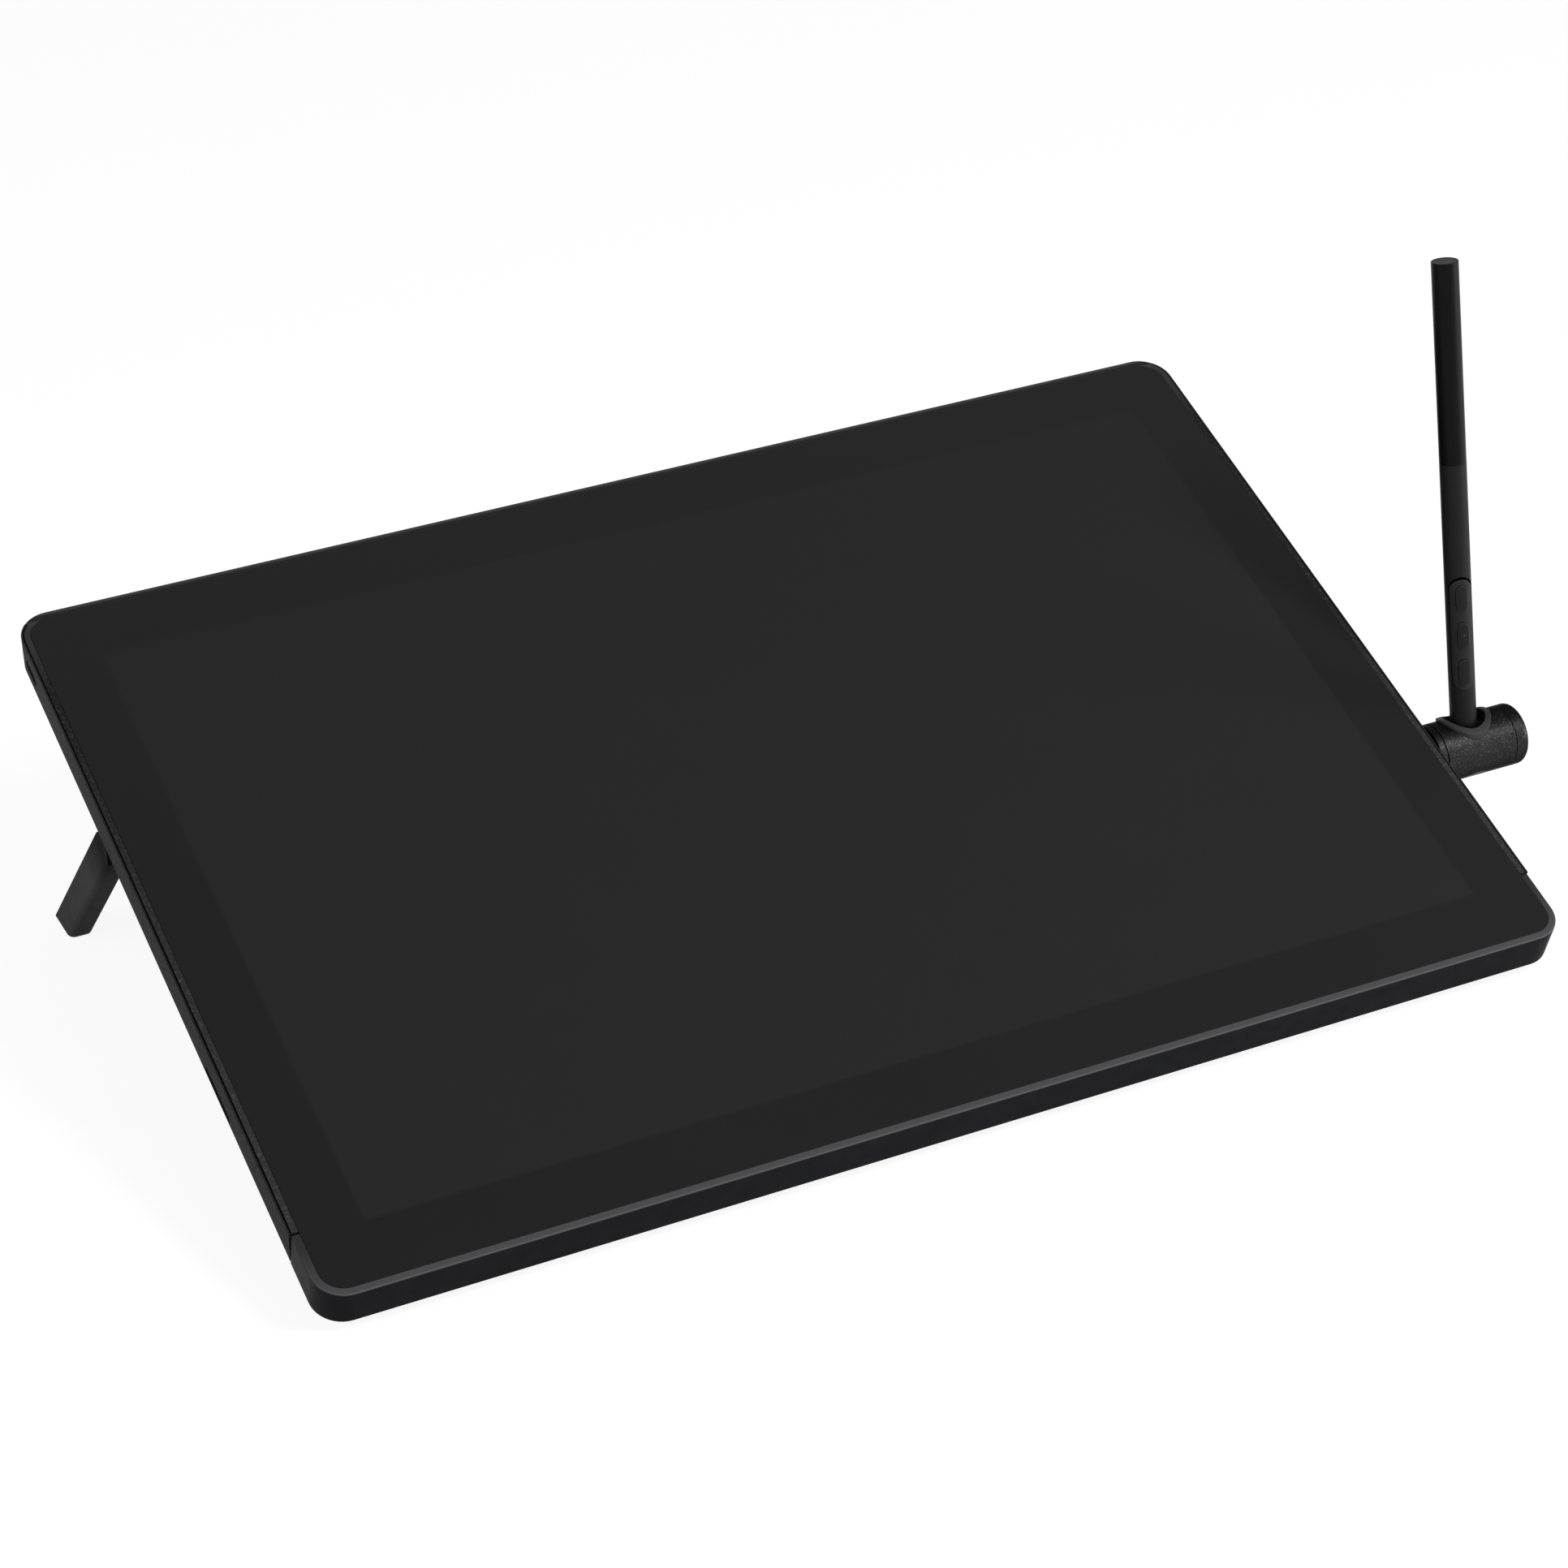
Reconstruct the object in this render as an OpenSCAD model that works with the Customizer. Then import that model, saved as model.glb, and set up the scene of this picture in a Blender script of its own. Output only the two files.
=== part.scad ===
// Pen display: a graphics tablet with a screen, on its two folding legs,
// with a pen standing in a holder on the right side.
// The slab is drawn flat, with the glass face at z = 0 and the screen's centre
// at x = y = 0, and is then tilted onto its legs. Lengths are in millimetres.

/* [Screen] */
// Width of the lit area
active_w = 344.6; // [320:0.2:370]
// Depth of the lit area
active_d = 215.4; // [200:0.2:230]
// Dark border left and right of the lit area
border_side = 17.3; // [16:0.1:22]
// Dark border in front of and behind the lit area
border_end = 18.6; // [17:0.1:24]
// Thickness of the cover glass
glass_t = 1; // [0.7:0.1:1.6]
// Corner radius of the cover glass
glass_r = 7; // [6:0.5:10]
// Thickness of the clear bond and of the gasket beside it
bond_t = 0.3; // [0.2:0.05:0.5]
// Dead margin of the liquid crystal panel round the lit area
lcd_margin = 3.7; // [3:0.1:5]
// Thickness of the liquid crystal panel
lcd_t = 1.4; // [1:0.1:2]
// Thickness of the diffuser films together
film_t = 0.6; // [0.4:0.1:1]
// Thickness of the light guide
guide_t = 2; // [1.6:0.1:3]
// Thickness of the reflector sheet
reflector_t = 0.3; // [0.2:0.05:0.4]
// Sheet thickness of the backlight tray
tray_t = 0.5; // [0.4:0.05:0.8]
// Thickness of the pen sensor board
sensor_t = 0.8; // [0.6:0.1:1.2]
// Thickness of the shield plate
shield_t = 0.5; // [0.4:0.05:0.8]

/* [Slab] */
// Width of the rounded rim beyond the front edge of the glass
rim_w = 2.3; // [2.1:0.1:2.8]
// Rounding of the rim
rim_r = 0.6; // [0.3:0.1:2]
// Height of the slab's edge
edge_h = 12.4; // [12:0.1:14]
// Inward slope of the front and back walls, in degrees
wall_draft = 0.5; // [0:0.5:6]
// Frame wall inside the edge of the glass
wall_in = 2.2; // [1.8:0.1:3]
// Thickness of the frame's deck under the screen
deck_t = 1.2; // [1:0.1:1.6]
// Thickness of the rear cover
cover_t = 1.8; // [1.5:0.1:2.2]
// Depth of the thick middle of the back below the edge
bulge_h = 8.6; // [8:0.1:10]
// Run of the sloped front and back of the thick middle
bulge_slope = 4; // [2:0.5:8]

/* [Side rails] */
// Width of the ledge beside the glass
ledge_w = 1.8; // [1.5:0.1:2.4]
// Width of the groove
groove_w = 0.5; // [0.3:0.1:0.8]
// Depth of the groove
groove_d = 1.2; // [0.8:0.1:2]
// Width of the rail's outer lip
lip_w = 0.5; // [0.4:0.1:0.8]
// Inward slope of the rail's outer face, in degrees
rail_draft = 4; // [0:1:5]
// Distance from the front edge of the glass to the rail's front end
rail_start = 21.1; // [15:0.1:40]
// Gap between the front end of the rail and the rim
rail_gap = 0.8; // [0.4:0.1:1.5]

/* [Stand] */
// Tilt of the screen, in degrees
tilt = 20; // [18:0.5:22]
// Width of a leg, seen from the side
leg_w = 10.6; // [9:0.1:10.6]
// Thickness of a leg across the tablet
leg_t = 7.4; // [6:0.1:7.8]
// Rounding of a leg's front edges
leg_round = 2; // [0.5:0.1:3]
// Lean of an open leg behind the screen's normal, in degrees
leg_lean = 26.2; // [22:0.1:30]
// Distance of the leg hinge behind the middle of the screen
hinge_y = 50.8; // [40:0.1:60]
// Radius of the hinge pin
pin_r = 1.5; // [1.2:0.1:1.6]
// Thickness of the rubber tip of a leg
tip_t = 1.5; // [1:0.1:3]
// Thickness of the rubber feet
foot_t = 2.4; // [2:0.1:3]
// Width of a rubber foot
foot_w = 60; // [30:1:80]
// Depth of a rubber foot
foot_d = 8; // [6:0.5:10]

/* [Mounts] */
// Side of the square of rear mount holes
rear_mount_pitch = 75; // [70:1:80]
// Hole radius of the rear mount inserts
rear_mount_hole_r = 1.65; // [1.4:0.05:2]
// Distance of the side mounts in front of the middle of the screen
side_mount_y = 48.6; // [44:0.1:55]
// Width of a side mount's notch
notch_w = 19.4; // [16:0.1:24]
// Height of a side mount's notch
notch_h = 3.6; // [3:0.1:3.7]
// Height of the rail's lip under a side mount's slot
slot_lip = 0.8; // [0.6:0.1:1.5]
// Hole radius of the side mount's thread
side_mount_hole_r = 1.25; // [1:0.05:1.5]

/* [Ports] */
// Distance of the USB-C sockets in front of the far corner's rounding
port_inset = 6.4; // [5.6:0.1:14]
// Width of a USB-C socket's shell
usb_w = 8.94; // [8.9:0.02:9.1]
// Height of a USB-C socket's shell
usb_h = 3.16; // [3.1:0.02:3.3]
// Distance of the power button from the right edge of the glass
button_inset = 39.6; // [30:0.1:48]
// Length of the power button
button_l = 8; // [6:0.5:12]
// Height of the power button
button_h = 3; // [2.4:0.1:3.2]
// Travel of the power button
button_travel = 0.5; // [0.3:0.1:0.6]

/* [Pen holder] */
// Depth of the holder's axis below the glass face
holder_drop = 9.3; // [9.2:0.1:10]
// Radius of the holder
holder_r = 9.5; // [9.2:0.1:10.5]
// Length of the holder's body
holder_l = 24.1; // [23.5:0.1:27]
// Thickness of the ring at the tablet's side
ring_t = 1.9; // [1.5:0.1:3]
// Length of the end cap
cap_l = 4.6; // [4.4:0.1:8]
// Rounding of the end cap
cap_round = 1.8; // [0.5:0.1:2]
// Distance from the ring to the pen's axis
pen_offset = 11.8; // [11.2:0.1:12.2]
// Radius of the holder's hole for the liner
liner_r = 7.2; // [6.8:0.1:7.4]
// Width of the liner's raised lip
lip_ring_w = 1.1; // [0.6:0.1:1.4]
// Height of the liner's raised lip
lip_ring_h = 0.9; // [0.5:0.1:1.4]
// Length of a spare nib
spare_nib_l = 12; // [9:0.5:12]

/* [Pen] */
// Length of the pen
pen_l = 159; // [150:1:170]
// Radius of the pen
pen_r = 4.05; // [3.9:0.05:4.5]
// Wall of the pen's barrel
pen_wall = 0.8; // [0.6:0.05:0.9]
// Length of the pen's tapered nose
nose_l = 15; // [13:0.5:17]
// Lean of the pen behind the screen's normal, in degrees
pen_lean = 28.9; // [20:0.1:40]
// Turn of the pen's buttons towards the tablet, in degrees
pen_roll = 18; // [0:1:30]
// Distance from the nib's point to the seam between the barrels
seam_at = 97.5; // [94:0.5:105]
// Length of the tail cap
tail_l = 2.6; // [2:0.1:5]
// Rim of the barrel round the tail cap
tail_rim = 0.35; // [0.3:0.05:0.5]
// Length of the switch plate
plate_l = 35; // [33:0.5:38]
// Width of the switch plate
plate_w = 6.6; // [5.6:0.1:6.8]
// Gap behind the switch plate's rear end
plate_rear_gap = 0.8; // [0.3:0.1:1.2]
// Distance from the nib's point to the middle of the switch plate
plate_at = 44.2; // [42:0.1:47]
// Length of a side button
pen_button_l = 8.2; // [6:0.1:9]
// Width of a side button
pen_button_w = 3.5; // [2.6:0.1:4]
// Spacing of the side buttons
pen_button_pitch = 11.8; // [10:0.1:12.4]
// How far the side buttons stand out
pen_button_h = 0.5; // [0.3:0.05:0.8]
// Travel of a side button
pen_button_travel = 0.35; // [0.2:0.05:0.4]
// Radius of the nib
nib_r = 0.8; // [0.6:0.05:0.9]
// Travel of the nib
nib_travel = 0.4; // [0.2:0.05:0.5]

/* [Hidden] */
$fn = 48;

// Clearances of seated pieces and of running pins
fit = 0.05;
run = 0.04;
// Reach of a cut past a face, and a length beyond the whole object
cut = 1;
far = 400;

// Plan of the slab
glass_w = active_w + 2 * border_side;
glass_d = active_d + 2 * border_end;
gx = glass_w / 2;
gy = glass_d / 2;
lcd_w = active_w + 2 * lcd_margin;
lcd_d = active_d + 2 * lcd_margin;
lcd_corner = 1;
bond_inset = 1;
gasket_inset = 0.6;
stack_gap = 0.8;
opening_w = lcd_w + 2 * stack_gap;
opening_d = lcd_d + 2 * stack_gap;
glass_gap = 0.1;
rail_w = ledge_w + groove_w + lip_w + glass_gap;
rail_wrap = 45;
back_rim_w = rail_w;
tray_in_w = lcd_w - 2 * tray_t;
tray_in_d = lcd_d - 2 * tray_t;
led_d = 2.4;
guide_w = tray_in_w - 2 * fit;
guide_d = tray_in_d - led_d - 2 * fit;

// Levels below the glass face
rim_drop = 0.1;
lip_drop = 0.35;
z_glass = -glass_t;
z_bond = z_glass - bond_t;
z_lcd = z_bond - lcd_t;
z_film = z_lcd - film_t;
z_guide = z_film - guide_t;
z_reflector = z_guide - reflector_t;
z_tray = z_reflector - tray_t;
z_sensor = z_tray - sensor_t;
z_shield = z_sensor - shield_t;
z_deck = z_shield - deck_t;
z_edge = -edge_h;
z_plate = z_edge + cover_t;
z_back = z_edge - bulge_h;
roof_t = 1.3;
z_roof = z_bond - roof_t;
wall_run = tan(wall_draft) * (edge_h - rim_drop - rim_r);
edge_chamfer = 0.2;

// Thick middle of the back
leg_overhang = 1.8;
leg_out = gx + leg_overhang;
leg_in = leg_out - leg_t;
washer_t = 2;
washer_w = 1.1;
leg_side_gap = washer_t + 0.1;
bulge_hw = leg_in - leg_side_gap;
bulge_front_inset = 9.3;
bulge_back_inset = 21.3;
bulge_front = -gy + bulge_front_inset;
bulge_back = gy - bulge_back_inset;
bulge_corner = 8;

// Feet, desk and tilt
foot_front_inset = 0.5;
foot_back_inset = 4;
foot_side_inset = 68;
foot_front_y = bulge_front + bulge_slope + foot_front_inset + foot_d / 2;
foot_back_y = bulge_back - bulge_slope - foot_back_inset - foot_d / 2;
foot_x = gx - foot_side_inset;
foot_corner = 3;
foot_toe = foot_t / 2;
lift = -((foot_front_y - foot_d / 2) * sin(tilt) + (z_back - foot_toe) * cos(tilt));
leg_clear = 0.35;
hinge_z = z_edge - leg_clear - leg_w / 2;
leg_reach = 140;
stop_gap = 0.1;
stop_d = 9;
stop_t = 5.5;
boss_l = 8;
pin_cover = 2;
pin_head_w = 0.6;
pin_head_t = 1.2;
pin_head_gap = 0.15;
pin_end = leg_out - pin_cover;
pin_start = bulge_hw - boss_l;
pin_l = pin_end - pin_start;

// Fasteners
screw_r = 1;
screw_head_r = 2.3;
screw_head_t = 1.1;
boss_r = 3;
screw_side_inset = 60;
screw_pitch = 65;
screw_front_inset = 5.8;
screw_back_inset = 11;
cover_screw_x = [for (s = [-1, 1], k = [0, 1]) s * (gx - screw_side_inset - k * screw_pitch)];
cover_screw_y = [-gy + screw_front_inset, gy - screw_back_inset];
insert_wall = 1.25;
insert_r = rear_mount_hole_r + insert_wall;
insert_l = 5;
rear_mount_y = -10;
vent_n = 18;
vent_pitch = 6;
vent_l = 14;
vent_w = 2;

// Main board and its neighbours
board_w = 150;
board_d = 50;
board_t = 1.6;
board_back_inset = 38;
board_y = bulge_back - board_back_inset;
board_drop = 2.8;
z_board = z_deck - board_drop;
chip_t = 1.4;
chip_w = 10;
main_chip_w = 18;
chip_pitch = 24;
chip_shift = 6;
z_chip = z_board - board_t - chip_t;
spreader_t = 0.8;
spreader_corner = 2;
spreader_inset = 15;
spreader_end = 6;
spreader_w = board_w - 2 * spreader_inset;
spreader_d = board_d - 2 * spreader_end;
board_screw_inset = 5;
board_screw_x = board_w / 2 - board_screw_inset;
board_screw_y = board_d / 2 - board_screw_inset;
flex_t = 0.3;
flex_gap = 1.4;
flex_slot_gap = 1;
flex_drop = 0.4;
flex_lap = 4;
flex_turn = 2;
panel_flex_x = 20;
panel_flex_w = 36;
sensor_flex_x = -45;
sensor_flex_w = 24;

// Ports
port_y = gy - glass_r - port_inset;
usb_l = 7.4;
usb_wall = 0.3;
usb_tongue_w = 6.6;
usb_tongue_t = 0.7;
usb_out = 0.4;
usb_mouth = gx + usb_out;
usb_back = 1.4;
usb_depth = usb_l - usb_back;
usb_tongue_in = 1;
port_z = z_deck + usb_h / 2;
port_board_t = 1.2;
port_board_w = 11;
port_board_d = 16;
port_board_lap = 0.8;
port_board_gap = 0.2;
port_board_x = gx - wall_in - port_board_gap - port_board_w;
port_slot_gap = 0.3;
socket_room = 1;

// Power button
button_x = gx - button_inset;
button_rise = 1.9;
button_z = z_deck + button_rise;
button_proud = 0.5;
button_skirt = 0.8;
button_skirt_t = 0.9;
button_gap = 0.2;
button_face = gy + back_rim_w - tan(wall_draft) * (-button_z - rim_drop - rim_r) + button_proud;
skirt_face = gy - wall_in - button_gap;
button_back = skirt_face - button_skirt_t;
switch_w = 6;
switch_d = 3.6;
switch_h = 3.4;
switch_gap = 0.1;
switch_face = button_back - button_travel - switch_gap;
switch_board_w = 20;
switch_board_d = 9;
switch_board_t = 1;

// Side mounts and pen holder
notch_wall = 0.8;
notch_side_wall = 2;
notch_in = bulge_hw + notch_wall;
z_notch = z_edge + notch_h;
z_slot = z_edge + slot_lip;
notch_round = 0.9;
block_w = notch_w + 2 * notch_side_wall;
side_mount_x = (notch_in + gx) / 2;
thread_l = 4.6;
tongue_gap = 0.1;
countersink_t = 1.05;
holder_y = -side_mount_y;
holder_z = -holder_drop;
neck_r = 6;
rail_out = gx + rail_w;
neck_l = 0.8;
ring_in = rail_out + neck_l;
neck_in = rail_out + tongue_gap;
ring_out = ring_in + ring_t;
friction_t = 0.35;
friction_r = 7;
body_in = ring_out + friction_t + fit;
body_out = body_in + holder_l;
cap_gap = 0.3;
cap_in = body_out + cap_gap;
cap_out = cap_in + cap_l;
pen_x = ring_out + pen_offset;
holder_screw_r = 1.5;
holder_head_r = 3;
holder_head_t = 1.6;
head_wall = 1.5;
head_seat = body_in + head_wall;
liner_floor = -8;
liner_base = 0.8;
nib_seat_gap = 0.2;
pen_seat = -liner_floor - liner_base - nib_seat_gap;
liner_wall = 0.5;
mouth_r = liner_r - liner_wall;
nose_gap = 0.35;
funnel_from = 2;
funnel_to = 6.5;
nib_room_r = 7.8;
nib_room_wall = 0.8;
nib_room_in = pen_x + liner_r + nib_room_wall;
spigot_wall = 0.7;
spigot_l = 2.6;
cap_wall = 1.6;
nib_pitch = 2.2;
nib_count = 3;
puller_r = 5;
puller_gap = 0.15;
puller_hole_r = nib_r + puller_gap;
puller_t = 0.8;

// Pen
pen_in = pen_r - pen_wall;
nose_tip = 1.4;
nib_gap = 0.2;
nose_wall = 0.3;
nose_hole_r = nib_r + nib_gap;
nose_r = nose_hole_r + nose_wall;
core_from = nose_l;
inner_from = core_from + 1;
spigot_pen_l = 6;
spigot_pen_wall = 0.7;
tail_round = 0.2;
tail_sink = 0.1;
tail_plug_l = 4;
nub_r = 0.45;
plate_proud = 0.15;
plate_gap = 0.2;
plate_in = pen_in + fit;
nib_l = 12;
core_l = 8.8;
core_to = core_from + core_l;
core_r = nose_hole_r + 0.7;
plunger_out = 0.5;
plunger_end = core_to + plunger_out;
coil_gap = 0.05;
coil_wall = 0.5;
coil_r = core_r + coil_gap + coil_wall;
coil_inset = 1;
coil_from = core_from + coil_inset;
coil_to = core_to - coil_inset;
sensor_l = 5;
sensor_top = 1.25;
sensor_from = core_to;
sensor_to = sensor_from + sensor_l;
cradle_r = pen_in - fit;
cradle_wall = 0.7;
cradle_from = core_from + 5;
cradle_gap = 0.5;
cradle_to = seam_at - spigot_pen_l - cradle_gap;
cradle_top = 0.3;
pen_board_t = 0.8;
pen_board_inset = 0.4;
pen_board_w = 2 * (cradle_r - pen_board_inset);
pen_board_gap = 1;
pen_board_from = sensor_to + pen_board_gap;
pen_board_to = cradle_to - pen_board_gap;
dome_l = 3;
dome_t = 0.8;
stem_gap = 0.05;
button_foot = pen_board_t - cradle_top + dome_t + pen_button_travel + stem_gap;
pen_flange = 0.35;
pen_flange_t = 0.5;
pen_button_gap = 0.15;

// Place of the origin: the middle of the bottom of the whole object's box
front_reach = -(gy + rim_w - rim_r) * cos(tilt) + (rim_drop + rim_r) * sin(tilt) - rim_r;
knee_y = gy + back_rim_w - wall_run + tan(wall_draft) * edge_chamfer;
edge_reach = knee_y * cos(tilt) + (edge_h - edge_chamfer) * sin(tilt);
leg_run = leg_lean + tilt;
hinge_height = hinge_y * sin(tilt) + hinge_z * cos(tilt) + lift;
hinge_run = hinge_y * cos(tilt) - hinge_z * sin(tilt);
leg_foot_reach = hinge_run + hinge_height * tan(leg_run) + leg_w / 2 / cos(leg_run);
back_reach = max(edge_reach, leg_foot_reach);
shift_x = -(cap_out - rail_out) / 2;
shift_y = -(front_reach + back_reach) / 2;

// Frames that the pieces are drawn in

// The slab's own flat frame, tilted and set on the desk
module on_panel() {
    translate([shift_x, shift_y, lift]) rotate([tilt, 0, 0]) children();
}

// The holder's axis along x, in the slab's frame
module on_holder() {
    on_panel() translate([0, holder_y, holder_z]) children();
}

// The hole for the pen in the holder, its axis along z
module at_pen_hole() {
    translate([pen_x, 0, 0]) rotate([-pen_lean, 0, 0]) children();
}

// The pen's own frame: nib's point at the origin, tail along z, buttons towards -y
module on_pen() {
    on_holder() at_pen_hole() translate([0, 0, -pen_seat]) rotate([0, 0, -pen_roll]) children();
}

// The left copy of something drawn on the right, s = -1, or the right one, s = 1
module on_side(s) {
    mirror([s < 0 ? 1 : 0, 0, 0]) children();
}

// Outlines and simple solids

module round_rect(w, d, r) {
    square([w - 2 * r, d], center = true);
    square([w, d - 2 * r], center = true);
    for (x = [-1, 1], y = [-1, 1])
        translate([x * (w / 2 - r), y * (d / 2 - r)]) circle(r);
}

module obround(l, w) {
    square([l - w, w], center = true);
    for (s = [-1, 1])
        translate([s * (l - w) / 2, 0]) circle(w / 2);
}

// A flat layer whose upper face is at z = top
module layer(w, d, r, top, t) {
    translate([0, 0, top - t]) linear_extrude(t) round_rect(w, d, r);
}

// A box between two corners
module block(low, high) {
    translate(low) cube(high - low);
}

// A round bar along x
module bar(x0, x1, r) {
    translate([x0, 0, 0]) rotate([0, 90, 0]) cylinder(h = x1 - x0, r = r);
}

// An outline in the y-z plane, drawn as [y, z], pulled along x
module side_shape(x0, x1) {
    translate([x0, 0, 0]) rotate([90, 0, 90]) linear_extrude(x1 - x0) children();
}

// A profile of [outward, z], measured from the edge of the glass, run all the way round,
// with a second profile for the back and its corners
module round_the_glass() {
    for (k = [0 : 3]) {
        back_side = k == 1 ? 1 : 0;
        back_corner = k < 2 ? 1 : 0;
        half = k % 2 == 0 ? gx : gy;
        length = (k % 2 == 0 ? glass_d : glass_w) - 2 * glass_r;
        rotate(90 * k) translate([half, 0, 0]) rotate([90, 0, 0])
            linear_extrude(length, center = true) children(back_side);
        sx = k == 0 || k == 3 ? 1 : -1;
        sy = k < 2 ? 1 : -1;
        translate([sx * (gx - glass_r), sy * (gy - glass_r), 0]) rotate(90 * k)
            rotate_extrude(angle = 90) translate([glass_r, 0]) children(back_corner);
    }
}

// A profile run along the right side only, from y0 and into the far corner
module along_side(y0) {
    corner_y = gy - glass_r;
    translate([gx, corner_y, 0]) rotate([90, 0, 0]) linear_extrude(corner_y - y0) children();
    translate([gx - glass_r, corner_y, 0])
        rotate_extrude(angle = rail_wrap) translate([glass_r, 0]) children();
}

// Screen stack

module cover_glass() {
    color([0.13, 0.13, 0.14]) on_panel() layer(glass_w, glass_d, glass_r, 0, glass_t);
}

module optical_bond() {
    color([0.8, 0.85, 0.9]) on_panel()
        layer(lcd_w - 2 * bond_inset, lcd_d - 2 * bond_inset, lcd_corner, z_glass, bond_t);
}

module glass_gasket() {
    color([0.05, 0.05, 0.05]) on_panel() difference() {
        layer(glass_w - 2 * gasket_inset, glass_d - 2 * gasket_inset, glass_r - gasket_inset, z_glass, bond_t);
        layer(opening_w, opening_d, lcd_corner, z_glass + cut, bond_t + 2 * cut);
    }
}

module lcd_panel() {
    color([0.1, 0.1, 0.12]) on_panel() layer(lcd_w, lcd_d, lcd_corner, z_bond, lcd_t);
}

module film_stack() {
    color([0.93, 0.93, 0.9]) on_panel()
        layer(tray_in_w - 2 * fit, tray_in_d - 2 * fit, lcd_corner - tray_t, z_lcd, film_t);
}

module light_guide() {
    color([0.85, 0.92, 0.95]) on_panel() translate([0, led_d / 2, 0])
        layer(guide_w, guide_d, lcd_corner - tray_t, z_film, guide_t);
}

module led_bar() {
    color([0.9, 0.85, 0.55]) on_panel() translate([0, -tray_in_d / 2 + led_d / 2, z_guide])
        linear_extrude(guide_t) square([active_w, led_d - 2 * fit], center = true);
}

module reflector_sheet() {
    color([0.95, 0.95, 0.95]) on_panel()
        layer(tray_in_w - 2 * fit, tray_in_d - 2 * fit, lcd_corner - tray_t, z_guide, reflector_t);
}

module backlight_tray() {
    color([0.7, 0.7, 0.72]) on_panel() difference() {
        layer(lcd_w, lcd_d, lcd_corner, z_lcd, z_lcd - z_tray);
        layer(tray_in_w, tray_in_d, lcd_corner - tray_t, z_lcd + cut, z_lcd - z_reflector + cut);
    }
}

module sensor_board() {
    color([0.1, 0.3, 0.2]) on_panel() layer(lcd_w, lcd_d, lcd_corner, z_tray, sensor_t);
}

module shield_plate() {
    color([0.6, 0.62, 0.65]) on_panel() layer(lcd_w, lcd_d, lcd_corner, z_sensor, shield_t);
}

// Slab

// Section of the frame's wall: rounded rim, sloped outer face, glass seat inside
module wall_section(width) {
    z_round = -rim_drop - rim_r;
    u_round = width - rim_r;
    u_foot = width - wall_run;
    u_knee = u_foot + tan(wall_draft) * edge_chamfer;
    polygon([
        [-wall_in, z_edge], [u_foot - edge_chamfer, z_edge], [u_knee, z_edge + edge_chamfer],
        [width, z_round], [u_round, z_round], [u_round, -rim_drop], [glass_gap, -rim_drop],
        [glass_gap, z_bond], [-wall_in, z_bond]
    ]);
    intersection() {
        translate([u_round, z_round]) circle(rim_r);
        translate([u_round, z_round]) square(rim_r);
    }
}

// Space that a side rail takes, with the gap at its front end
module rail_space() {
    along_side(-gy + rail_start - rail_gap)
        translate([glass_gap, z_edge - cut]) square([rail_w + cut, edge_h + 2 * cut]);
}

// The notch of a side mount in the y-z plane, drawn in by a gap, from a lower level up
module notch_section(gap, bottom) {
    half = notch_w / 2 - gap;
    top = z_notch - gap;
    low = z_edge - cut;
    translate([holder_y, 0]) intersection() {
        translate([-half, bottom]) square([2 * half, top - bottom]);
        union() {
            translate([-half, low]) square([2 * half, top - notch_round - low]);
            translate([-half + notch_round, low]) square([2 * (half - notch_round), top - low]);
            for (s = [-1, 1])
                translate([s * (half - notch_round), top - notch_round]) circle(notch_round);
        }
    }
}

// The notch itself, open to the side, from a lower level up
module side_notch(bottom) {
    side_shape(notch_in, rail_out + cut) notch_section(0, bottom);
}

// The hole for a screw from below into the notch's ceiling
module side_mount_hole() {
    translate([side_mount_x, holder_y, z_notch - cut])
        cylinder(h = thread_l + cut, r = side_mount_hole_r);
}

// Opening for a USB-C socket, pulled along x
module usb_opening(x0, x1, grow) {
    side_shape(x0, x1) translate([port_y, port_z]) obround(usb_w + 2 * grow, usb_h + 2 * grow);
}

// Slots in the roof and the deck that a flat cable passes
module flex_slot(x, w) {
    half = w / 2 + flex_slot_gap;
    edge = lcd_d / 2;
    block([x - half, edge - flex_slot_gap, z_deck - cut],
          [x + half, edge + flex_gap + flex_slot_gap, z_bond + cut]);
}

module screw_posts(height, r) {
    for (x = cover_screw_x, y = cover_screw_y)
        translate([x, y, z_plate]) cylinder(h = height, r = r);
}

module board_posts(top, height, r) {
    for (x = [-1, 1], y = [-1, 1])
        translate([x * board_screw_x, board_y + y * board_screw_y, top - height]) cylinder(h = height, r = r);
}

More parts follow.
